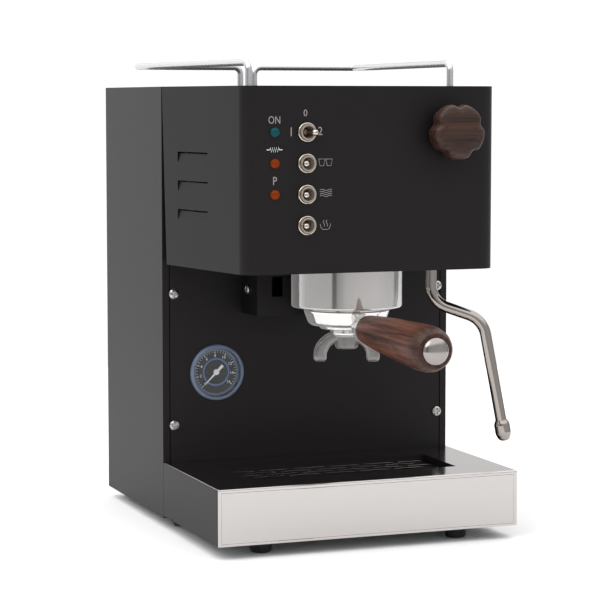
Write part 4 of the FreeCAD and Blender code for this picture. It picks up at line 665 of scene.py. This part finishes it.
# %% Cup rails
rail_chrome = hazed(bright_metal("chrome_on_rod", "cbcbce", (0.15, 0.21), 8 * MM, metallic=0.85),
                    0.4)
rod, front_foot = 2.7, 83.6
for side, node in ((-1, "cup_rail_left"), (1, "cup_rail_right")):
    low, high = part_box(node)
    top = high.z - rod * MM
    outer = (high.x if side > 0 else low.x) - side * rod * MM
    inner = (low.x if side > 0 else high.x) + side * rod * MM
    front_x = side * front_foot * MM
    front_y = low.y + rod * MM
    back_y = high.y - rod * MM
    rail = bent_tube([(front_x, front_y, low.z), (front_x, front_y, top), (outer, back_y, top),
                      (inner, back_y, top), (inner, back_y, low.z)], (6, 5, 6), rod)
    settle(rail, "rail_left" if side < 0 else "rail_right", "base", "chromed_brass", [node], 50,
           rail_chrome)

# %% [markdown]
# The steam wand hangs from its swivel, runs out to the side on a sloping arm and drops to a
# short nozzle with four fine holes. It is stainless tube, buffed after bending, which leaves a
# darker and warmer mirror than chrome.

# %% Steam wand and nozzle
swivel = Vector(joints["wand_swivel"]["pos_m"])
heading_out, lean = math.radians(64.6), math.radians(10.5)
outward = Vector((math.sin(heading_out), -math.cos(heading_out), 0))
elbow_z, knee_z = 185.8 * MM, 171.9 * MM
arm_run, leg_run = 41 * MM, 80 * MM
tube_radius, wand_bends = 4.4, (19, 20)


def wand_spot(out, height):
    return Vector((swivel.x, swivel.y, height)) + outward * out


knee = wand_spot(arm_run, knee_z)
wand_end = wand_spot(arm_run + leg_run * math.sin(lean), knee_z - leg_run * math.cos(lean))
wand = bent_tube([wand_spot(0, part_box("steam_wand")[1].z), wand_spot(0, elbow_z), knee, wand_end],
                 wand_bends, tube_radius)
tube_steel = bright_metal("stainless_tube", "9b948f", (0.06, 0.12), 5 * MM, 0.01 * MM)
settle(wand, "wand_tube", "steam_wand", "polished_stainless", ["steam_wand"], 50, tube_steel)
along = (wand_end - knee).normalized()
nozzle = lathe([(0, 0), (4.8, 0, 0.3), (6.2, 3.2, 1), (6.2, 11, 1.5), (4.6, 14.9, 1),
                (2.6, 16.5, 0.6), (0, 16.5)], 64)
hole_circle = 3.3 * MM
for index in range(4):
    turn = math.radians(45 + 90 * index)
    hole = lathe([(0, 0), (0.7, 0), (0.7, 4), (0, 4)], 16)
    aim(hole, (hole_circle * math.cos(turn), hole_circle * math.sin(turn), 14.2 * MM), UP)
    combined(nozzle, hole, operation="DIFFERENCE")
aim(nozzle, wand_end, along)
settle(nozzle, "steam_nozzle", "steam_wand", "polished_stainless", ["wand_tip"], 40, tube_steel)

# %% [markdown]
# Four toggle switches stand in a column. Each has a threaded ring nut and a slim lever with a
# rounded bat end. One lever is turned and copied for the rest. The power lever rests thrown the
# other way from the other three.

# %% Toggle levers
lever_names = ("power_lever", "brew_lever", "hot_water_lever", "steam_lever")
lever_joints = ("power_switch", "brew_switch", "hot_water_switch", "steam_switch")
first_lever = lathe([(0, -2.6), (1.6, -2.4, 0.4), (2.7, -0.8, 0.8), (2.4, 1.4, 0.8),
                     (1.25, 2.8, 1), (1.35, 5.6, 1), (1.9, 9.7, 1.5), (2.5, 11.6, 1),
                     (2.5, 13.2, 1.2), (1.6, 14.7, 0.6), (0, 14.9)], 40)
levers = [first_lever] + [placed(node, first_lever.data.copy()) for node in lever_names[1:]]
throw_degrees = 16.4
for lever, node, joint in zip(levers, lever_names, lever_joints):
    throw = math.radians(throw_degrees if lever is first_lever else -throw_degrees)
    aim(lever, Vector(joints[joint]["pos_m"]), (math.sin(throw), -math.cos(throw), 0))
    settle(lever, "toggle_" + node.replace("_lever", ""), node, "chrome_lever", [node], 50)

# %% [markdown]
# The ring nuts are round, with a fine chamfer and a recessed face. They are turned with two
# steps, so that each shows a bright rim round a darker inner ring. All four are one piece, as
# they share one finish and never move.

# %% Ring nuts
head_low, head_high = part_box("head_cover")
nut_rings = []
for joint in lever_joints:
    spot = Vector(joints[joint]["pos_m"])
    ring = lathe([(5.95, 0), (7.45, 0), (7.45, 1.7, 0.5), (6.9, 2.4, 0.3), (6.35, 2.4, 0.2),
                  (6.1, 1.9, 0.1), (5.95, 1.9), (5.95, 0)], 64)
    nut_rings.append(aim(ring, (spot.x, head_low.y - 0.05 * MM, spot.z), FRONT))
settle(joined(*nut_rings), "switch_rings", "base", "chrome_lever", ["switch_nuts"], 35)

# %% [markdown]
# The lamps are small domed acrylic lenses: one green for power and two amber for heating. They
# are turned rather than cut from spheres, because the profile also gives their shoulder.

# %% Lamp lenses
def lamp_lens(x, z):
    lens = lathe([(0, -16), (3.1, -16, 0.3), (3.1, -1.2), (3.6, -1.2), (3.6, 0.8, 0.3),
                  (3.35, 1.55), (2.7, 2.1), (1.6, 2.45), (0, 2.6)], 48)
    return aim(lens, (x, head_low.y, z), FRONT)


low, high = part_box("power_lamp")
lamp_x = (low.x + high.x) / 2
heights = [joints[joint]["pos_m"][2] for joint in lever_joints]
green = lamp_lens(lamp_x, heights[0])
settle(green, "green_lens", "base", "green_lamp", ["power_lamp"], 50)
ambers = joined(lamp_lens(lamp_x, heights[1]), lamp_lens(lamp_x, heights[2]))
settle(ambers, "amber_lenses", "base", "amber_lamp", ["heating_lamps"], 50)

# %% [markdown]
# The gauge has a stepped rim in blue-grey enamel. The enamel runs on as a narrow band round the
# black dial, which is the same turned piece with a second finish on its outermost faces.

# %% Gauge rim and dial
low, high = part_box("gauge_bezel")
gauge = Vector(((low.x + high.x) / 2, 0, (low.z + high.z) / 2))
rim = lathe([(19.8, 0), (21.1, 0), (21.1, 1.6), (22.6, 1.6), (22.6, 3.3, 0.8), (21.4, 4.5, 0.7),
             (19.9, 4.5, 0.3), (19.8, 3.4, 0.2), (19.8, 0)], 96)
aim(rim, (gauge.x, high.y, gauge.z), FRONT)
blue_ring = plain_finish("enamel_blue_grey", "566274", "64718a", (0.3, 0.42), 1.5 * MM)
settle(rim, "gauge_rim", "base", "gauge_black", ["gauge_bezel"], 40, blue_ring)
low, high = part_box("gauge_dial")
dial = lathe([(0, 0), (19.6, 0), (19.6, 0.8, 0.1), (17.6, 0.8), (17.2, 0.55), (0, 0.55)], 96)
aim(dial, (gauge.x, low.y + 0.8 * MM, gauge.z), FRONT)
settle(dial, "gauge_face", "base", "gauge_black", ["gauge_dial"], 40)
dial.data.materials.append(blue_ring)
band_inside = 17.3 * MM
for face in dial.data.polygons:
    if math.hypot(face.center.x - gauge.x, face.center.z - gauge.z) > band_inside:
        face.material_index = 1
dial_y = low.y

# %% [markdown]
# Print is thin raised paint here, because a shape stays sharp at any distance. Text and curves
# are drawn first and then turned into meshes, and a flat piece is stood up on the dial.

# %% Print helpers
def meshed(piece, size, spot, turn=0.0):
    choose(piece)
    bpy.ops.object.convert(target="MESH")
    piece = bpy.context.object
    piece.rotation_euler = (turn, 0, 0)
    piece.scale = size
    piece.location = spot
    fix_place()
    return piece


def written(words, size, x, y, z, thick=0.06, narrow=1.0):
    let_go()
    bpy.ops.object.text_add()
    text = bpy.context.object.data
    text.body = words
    text.size = size * MM
    text.extrude = thick * MM
    text.align_x = text.align_y = "CENTER"
    text.resolution_u = 3
    return meshed(bpy.context.object, (narrow, 1, 1), (x, y, z), math.pi / 2)


def on_dial(piece, angle, y):
    choose(piece)
    piece.rotation_euler = (math.pi / 2, 0, 0)
    fix_place()
    piece.rotation_euler = (0, -angle, 0)
    piece.location = (gauge.x, y, gauge.z)
    fix_place()
    return piece


print("print helpers ready")

# %% [markdown]
# A short bar stands at every mark of the scale, longer at the numbers, and a thin blue ring
# runs inside them. Angles are in degrees, anticlockwise from three o'clock.

# %% Gauge print
printed = []
sweep, start = 263.0, 225.0
gaps, gaps_per_number = 32, 4
mark_outside, number_circle = 16.9 * MM, 13.3 * MM
for step in range(gaps + 1):
    long_mark = step % gaps_per_number == 0
    angle = math.radians(start - sweep * step / gaps)
    inner = (15.1 if long_mark else 15.8) * MM
    wide = (0.55 if long_mark else 0.3) * MM
    bar = block((inner, -wide / 2, -0.05 * MM), (mark_outside, wide / 2, 0.05 * MM), 0.03 * MM, 1)
    printed.append(on_dial(bar, angle, dial_y + 0.22 * MM))
numbers = gaps // gaps_per_number
for step in range(numbers + 1):
    angle = math.radians(start - sweep * step / numbers)
    printed.append(written(str(step * 2), 3.3, gauge.x + number_circle * math.cos(angle),
                           dial_y + 0.2 * MM, gauge.z + number_circle * math.sin(angle)))
white_print = plain_finish("print_white", "dfe2e4", "eceef0", (0.45, 0.55), 1 * MM)
settle(joined(*printed), "gauge_print", "base", "needle_white", (), 30, white_print)
scale_ring = lathe([(10.0, 0), (11.3, 0), (11.3, 0.12), (10.0, 0.12), (10.0, 0)], 72)
aim(scale_ring, (gauge.x, dial_y + 0.27 * MM, gauge.z), FRONT)
blue_print = plain_finish("print_blue", "4a6a9a", "5676a6", (0.4, 0.5), 1 * MM)
settle(scale_ring, "gauge_inner_ring", "base", "needle_white", (), 30, blue_print)

# %% [markdown]
# The needle is stamped from thin aluminium and painted: a long taper, a hub, and a short wide
# tail that balances it. It turns with its own joint, so it is a piece of its own. A flat glass
# closes the gauge.

# %% Needle and glass
needle_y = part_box("gauge_needle")[0].y
hand = block((-7.4 * MM, -1.25 * MM, -0.2 * MM), (13.0 * MM, 1.25 * MM, 0.2 * MM))
open_up(hand)
pick("VERT", lambda vertex: vertex.co.x > 12 * MM)
bpy.ops.transform.resize(value=(1, 0.22, 1), center_override=(13 * MM, 0, 0))
pick("EDGE", lambda part: abs(part.verts[0].co.z - part.verts[1].co.z) < 0.01 * MM)
bpy.ops.mesh.bevel(offset=0.08 * MM, segments=2, affect="EDGES")
close_up()
on_dial(hand, math.radians(start), needle_y + 0.45 * MM)
boss_cap = lathe([(0, 0), (2.4, 0), (2.4, 0.7, 0.2), (1.6, 1.0, 0.1), (0, 1.0)], 32)
aim(boss_cap, (gauge.x, needle_y + 1.0 * MM, gauge.z), FRONT)
settle(joined(hand, boss_cap), "gauge_hand", "gauge_needle", "needle_white", ["gauge_needle"], 40)
low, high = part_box("gauge_lens")
glass = lathe([(0, 0), (19.4, 0, 0.1), (19.4, 1.0, 0.2), (0, 1.0)], 72)
aim(glass, (gauge.x, high.y, gauge.z), FRONT)
settle(glass, "gauge_window", "base", "gauge_glass", ["gauge_lens"], 40)

# %% [markdown]
# The drip tray cover is folded from polished stainless sheet, with a hemmed front and a recess
# pressed into its top for the grate. It starts as a block, because the folds are then simply
# its edges: they are rounded, and a fine hem line is pressed into the front. The sides and the
# recess are coated black.

# %% Drip tray cover
low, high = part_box("drip_tray_cover")
well_low, well_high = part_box("drip_grate")
gap = 0.3 * MM
left, front, right, back = (well_low.x - gap, well_low.y - gap, well_high.x + gap,
                            well_high.y + gap)
tray = block(low, high)
open_up(tray)


def outer_edge(part):
    spot = middle(part)
    return (spot.z > high.z - 0.01 * MM
            or (spot.y < low.y + 0.01 * MM and abs(spot.x) > high.x - 0.01 * MM))


fold, hem, line_wide, line_deep = 1.3 * MM, 1.6 * MM, 0.22 * MM, 0.2 * MM
pick("EDGE", outer_edge)
bpy.ops.mesh.bevel(offset=fold, segments=4, affect="EDGES")
pick("FACE", lambda face: face.normal.y < -0.99)
bpy.ops.mesh.inset(thickness=hem, depth=0)
bpy.ops.mesh.inset(thickness=line_wide, depth=-line_deep)
bpy.ops.mesh.inset(thickness=line_wide, depth=line_deep)
print("tray faces", len(bmesh.from_edit_mesh(tray.data).faces))

# %% [markdown]
# Four cuts across the top mark out the recess. Its floor is pushed down and opened, the back and
# the underside are taken away, and what is left is one skin that a modifier thickens.

# %% Recess and sheet
for point, way in (((left, 0, 0), (1, 0, 0)), ((right, 0, 0), (1, 0, 0)),
                   ((0, front, 0), (0, 1, 0)), ((0, back, 0), (0, 1, 0))):
    pick("FACE", lambda face: face.normal.z > 0.99)
    bpy.ops.mesh.bisect(plane_co=point, plane_no=way)
pick("FACE", lambda face: face.normal.z > 0.99 and left < middle(face).x < right
     and front < middle(face).y < back)
extrude((0, 0, well_low.z - high.z))
bpy.ops.mesh.inset(thickness=5 * MM)
bpy.ops.mesh.delete(type="FACE")
pick("FACE", lambda face: face.normal.z < -0.99)
bpy.ops.mesh.delete(type="FACE")
pick("FACE", lambda face: face.normal.y > 0.99 and middle(face).y > high.y - 1 * MM)
bpy.ops.mesh.delete(type="FACE")
close_up()
use(tray, "SOLIDIFY", thickness=1.2 * MM, offset=-1)
settle(tray, "tray_cover", "drip_tray", "polished_stainless", ["drip_tray_cover"], 25)
tray.data.materials.append(finishes["black_powder_coat"])
reach = 1.3 * MM                                   # a little past the sheet's own thickness
for face in tray.data.polygons:
    spot = face.center
    sides = abs(face.normal.x) > 0.7 and abs(spot.x) > high.x - 2 * MM
    inside = (abs(spot.x) < right + reach and front - reach < spot.y < back + reach
              and spot.z < high.z - 0.4 * MM)
    if sides or inside:
        face.material_index = 1

# %% [markdown]
# Folded sheet is never knife-sharp. A CAD node with a crisp edge is copied, its loose
# triangles are merged into clean faces, and every sharp edge gets a small radius that catches
# a line of light. Weighted normals then keep the broad faces flat.

# %% Soften folded parts
def ease_louvres(piece):
    """The louvres are pressed shallow: their blades stand back only a third as far."""
    panel_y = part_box("front_panel")[0].y
    taper = 22.6 / 137.0                           # the head's cheek draws in towards the front
    turned = math.cos(math.atan(taper))
    forward, moved = 0.66, 0
    for vertex in piece.data.vertices:
        side = 1 if vertex.co.x > 0 else -1
        along = panel_y - vertex.co.y
        inset = (head_high.x - taper * along - abs(vertex.co.x)) * turned
        on_louvre, behind_cheek = 24 * MM < along < 81 * MM, 1.4 * MM < inset < 8 * MM
        if on_louvre and behind_cheek:
            vertex.co.x += side * inset * forward / turned
            moved += 1
    print("louvre points eased", moved)


def softened(node, name, body, width):
    piece = placed(name, frame["nodes"][node].data.copy())
    merge_doubles(piece, 0.003 * MM)
    open_up(piece)
    pick_all()
    bpy.ops.mesh.dissolve_limited(angle_limit=math.radians(0.5))
    close_up()
    if node == "head_cover":
        ease_louvres(piece)
    use(piece, "BEVEL", width=width * MM, segments=2, limit_method="ANGLE",
        angle_limit=math.radians(30))
    return settle(piece, name, body, slot_of[node], [node], 40)


# pressed sheet is polished like the tray, without the mill's lines
pressed_steel = bright_metal("stainless_pressed", "b8b4b2", (0.10, 0.17), 2 * MM, 0.002 * MM)
for node, name, width in (
        ("head_cover", "head_shell", 0.45), ("side_panel_left", "side_left", 0.5),
        ("side_panel_right", "side_right", 0.5), ("front_panel", "panel_front", 0.35),
        ("back_panel", "panel_back", 0.4), ("top_panel", "panel_top", 0.4),
        ("group_bracket", "bracket", 0.5), ("tank_lid", "lid", 0.6),
        ("drip_grate", "grate", 0.3), ("rubber_feet", "feet", 0.8),
        ("power_inlet", "inlet", 0.5)):
    body = node if node in ("tank_lid", "drip_grate") else "base"
    piece = softened(node, name, body, width)
    if name == "grate":
        piece.data.materials[0] = pressed_steel

# %% [markdown]
# The casing screws are stainless pan heads with a cross recess. The fasteners are copied as
# one mesh and parted into single screws and nuts. Each head that faces the front gets a cross,
# cut by two crossed bars, and all are joined again.

# %% Casing screws
fasteners = placed("fasteners", frame["nodes"]["casing_fasteners"].data.copy())
merge_doubles(fasteners, 0.003 * MM)
open_up(fasteners)
pick_all()
bpy.ops.mesh.separate(type="LOOSE")
close_up()
loose = list(bpy.context.selected_objects)
crossed = 0
for screw in loose:
    spots = [vertex.co for vertex in screw.data.vertices]
    front = min(spot.y for spot in spots)
    heads = [spot for spot in spots if spot.y < front + 2.5 * MM]
    wide = max(spot.x for spot in heads) - min(spot.x for spot in heads)
    long = max(spot.y for spot in spots) - front
    pan_head = 6 * MM < wide < 9 * MM and 5 * MM < long < 13 * MM
    if not pan_head or front > 60 * MM:            # only those that face the front get a cross
        continue
    x = sum(spot.x for spot in heads) / len(heads)
    z = (max(spot.z for spot in heads) + min(spot.z for spot in heads)) / 2
    for across, up in ((2.4 * MM, 0.6 * MM), (0.6 * MM, 2.4 * MM)):
        bar = block((x - across, front - 1 * MM, z - up), (x + across, front + 1.7 * MM, z + up))
        combined(screw, bar, operation="DIFFERENCE")
    crossed += 1
settle(joined(*loose), "casing_screws", "base", "stainless_fastener", ["casing_fasteners"], 35)
print("crossed heads", crossed)

# %% [markdown]
# The control marks are screen-printed in pale ink beside the switches. A stroke is a chain of
# points given a fine round section, turned into a mesh and flattened. Sizes and places in the
# table of letters are millimetres, and the last number narrows the letter.

# %% Letters
def stroke(points, x, z, width=0.22):
    curve = bpy.data.curves.new("stroke", "CURVE")
    curve.dimensions = "3D"
    curve.bevel_depth = width * MM
    curve.bevel_resolution = 1
    line = curve.splines.new("POLY")
    line.points.add(len(points) - 1)
    for spot, (across, up) in zip(line.points, points):
        spot.co = (across * MM, 0, up * MM, 1)
    return meshed(placed("stroke", curve), (1, 0.35, 1), (x * MM, head_low.y, z * MM))


marks = []
for words, size, x, z, narrow in (("ON", 8.0, -79.2, 327.6, 0.78), ("0", 7.2, -54.7, 332.8, 0.9),
                                  ("1", 9.6, -66.0, 318.7, 0.8), ("2", 8.8, -42.8, 319.3, 0.85),
                                  ("P", 8.8, -79.0, 282.5, 0.8)):
    marks.append(written(words, size, x * MM, head_low.y, z * MM, 0.05, narrow))
print("letters", len(marks))

# %% [markdown]
# The signs are plain ones: a heater zigzag, two cups, waves and rising steam. The zigzag is a
# piece of its own, because its ink is whiter.

# %% Signs
lamp_column, switch_column = -79.2, -38.7
zigzag = [(-3.2 + 0.8 * n, 1.8 if n % 2 == 0 else -1.8) for n in range(9)]
heater_mark = stroke([(-6.2, 0), (-3.6, 0)] + zigzag + [(3.6, 0), (6.2, 0)],
                     lamp_column, 305.9, 0.34)
settle(heater_mark, "heater_mark", "base", "needle_white", (), 30, white_print)
for shift in (-2.9, 2.9):
    bowl = [(shift - 2.6, 2.6), (shift - 1.5, -2.4), (shift + 1.5, -2.4), (shift + 2.6, 2.6),
            (shift - 2.6, 2.6)]
    marks.append(stroke(bowl, switch_column, 296.2))
for row in range(4):
    wave = [(-4.8 + 0.64 * n, 1.5 * (row - 1.5) + 0.5 * math.sin(n * 0.6)) for n in range(16)]
    marks.append(stroke(wave, -38.3, 273.5))
jug = [(-4.2, 1.2), (-3.4, -2.0), (-2.0, -3.0), (2.0, -3.0), (3.4, -2.0), (4.2, 1.2)]
marks.append(stroke(jug, switch_column, 249.2))
for shift in (-1.2, 1.2):
    steam = [(shift + 0.5 * math.sin(n * 0.9), -0.8 + 0.7 * n) for n in range(8)]
    marks.append(stroke(steam, switch_column, 249.2))
grey_print = plain_finish("print_pale_grey", "88827f", "948e8b", (0.5, 0.6), 1 * MM)
settle(joined(*marks), "control_marks", "base", "needle_white", (), 30, grey_print)

# %% [markdown]
# The machine stands on a plain pale floor, painted matt so that it mirrors nothing.

# %% Floor
let_go()
bpy.ops.mesh.primitive_circle_add(vertices=96, radius=1.1, fill_type="NGON")
floor = bpy.context.object
floor.name = "floor"
floor.data.materials.append(tuned(finish_start("floor_matt_white")[0], {
    "Base Color": linear("f6f6f6"), "Roughness": 0.9, "Specular IOR Level": 0.0}))
print("floor", round(floor.dimensions.x, 2), "m across")

# %% [markdown]
# The light is a ring of soft boxes under a bright sky. Around the horizon the level follows a
# table of (direction in degrees, brightness), where 0 is the front. The narrow dark stretches
# near -47 and 101 degrees are gaps between boxes, and polished metal shows them as the thin
# dark lines that make it read as metal. Higher up the sky is even. The camera itself sees a
# plain white backdrop.

# %% Sky of soft boxes
SOFT_BOXES = ((-180, 1.25), (-150, 1.3), (-132, 0.9), (-116, 0.60), (-95, 0.58), (-54, 0.58),
              (-50, 0.05), (-44, 0.08), (-41, 0.34), (-22, 0.62), (0, 0.70), (40, 0.74),
              (92, 0.62), (98, 0.12), (104, 0.12), (110, 1.0), (145, 0.8), (168, 0.75),
              (180, 1.25))
OVERHEAD, BACKDROP = 1.75, 1.05
world = bpy.data.worlds.new("studio")
bpy.context.scene.world = world
world.use_nodes = True
tree = world.node_tree
tree.nodes.clear()
way = add(tree, "ShaderNodeTexCoord").outputs["Generated"]
parts = add(tree, "ShaderNodeSeparateXYZ", {"Vector": way})
behind = add(tree, "ShaderNodeMath", {0: parts.outputs["Y"], 1: -1.0}, operation="MULTIPLY")
azimuth = add(tree, "ShaderNodeMath", {0: parts.outputs["X"], 1: behind.outputs[0]},
              operation="ARCTAN2")
around = add(tree, "ShaderNodeMapRange", {"Value": azimuth.outputs[0], "From Min": -math.pi,
                                          "From Max": math.pi})
walls = add(tree, "ShaderNodeValToRGB", {"Fac": around.outputs["Result"]})
ramp = walls.color_ramp
while len(ramp.elements) > 1:
    ramp.elements.remove(ramp.elements[-1])
for index, (angle, level) in enumerate(SOFT_BOXES):
    place_on = (angle + 180) / 360
    stop = ramp.elements[0] if index == 0 else ramp.elements.new(place_on)
    stop.position = place_on
    stop.color = (level, level, level, 1)
print("soft boxes", len(ramp.elements))

# %% [markdown]
# The walls fade into the sky overhead between about 20 and 37 degrees up. A mix node picks the
# plain backdrop for what the camera sees directly.

# %% Mix walls, sky and backdrop
height = add(tree, "ShaderNodeMapRange", {"Value": parts.outputs["Z"], "From Min": 0.35,
                                          "From Max": 0.6, "To Min": 0.0, "To Max": 1.0})
sky = add(tree, "ShaderNodeMix", {"Factor": height.outputs["Result"]}, data_type="FLOAT")
tree.links.new(walls.outputs["Color"], sky.inputs["A"])
sky.inputs["B"].default_value = OVERHEAD
seen = add(tree, "ShaderNodeLightPath")
shown = add(tree, "ShaderNodeMix", {"Factor": seen.outputs["Is Camera Ray"]}, data_type="FLOAT")
tree.links.new(sky.outputs["Result"], shown.inputs["A"])
shown.inputs["B"].default_value = BACKDROP
glow = add(tree, "ShaderNodeBackground", {"Color": shown.outputs["Result"]})
add(tree, "ShaderNodeOutputWorld", {"Surface": glow.outputs["Background"]})
print("world nodes", len(tree.nodes))

# %% [markdown]
# One round soft light from the upper left shapes the casing, and the camera looks from the
# front left, level with the machine's head, through a long lens that keeps uprights upright.

# %% Key light and camera
bpy.ops.object.light_add(type="AREA", location=(-1.2, -0.6, 1.5))
key = bpy.context.object
key.name = "key_light"
key.data.shape = "DISK"
key.data.size = 1.5
key.data.energy = 9
key_target = Vector((0, 0, 0.15))
key.rotation_euler = (key_target - key.location).to_track_quat("-Z", "Y").to_euler()

bpy.ops.object.camera_add(location=(-0.6383, -1.6103, 0.3415),
                          rotation=(math.radians(84.814), 0, math.radians(-20.853)))
camera = bpy.context.object
camera.data.sensor_width = 36
camera.data.lens = 131.23
bpy.context.scene.camera = camera
bpy.context.scene.view_settings.view_transform = "Standard"
print("lens", round(camera.data.lens), "mm")
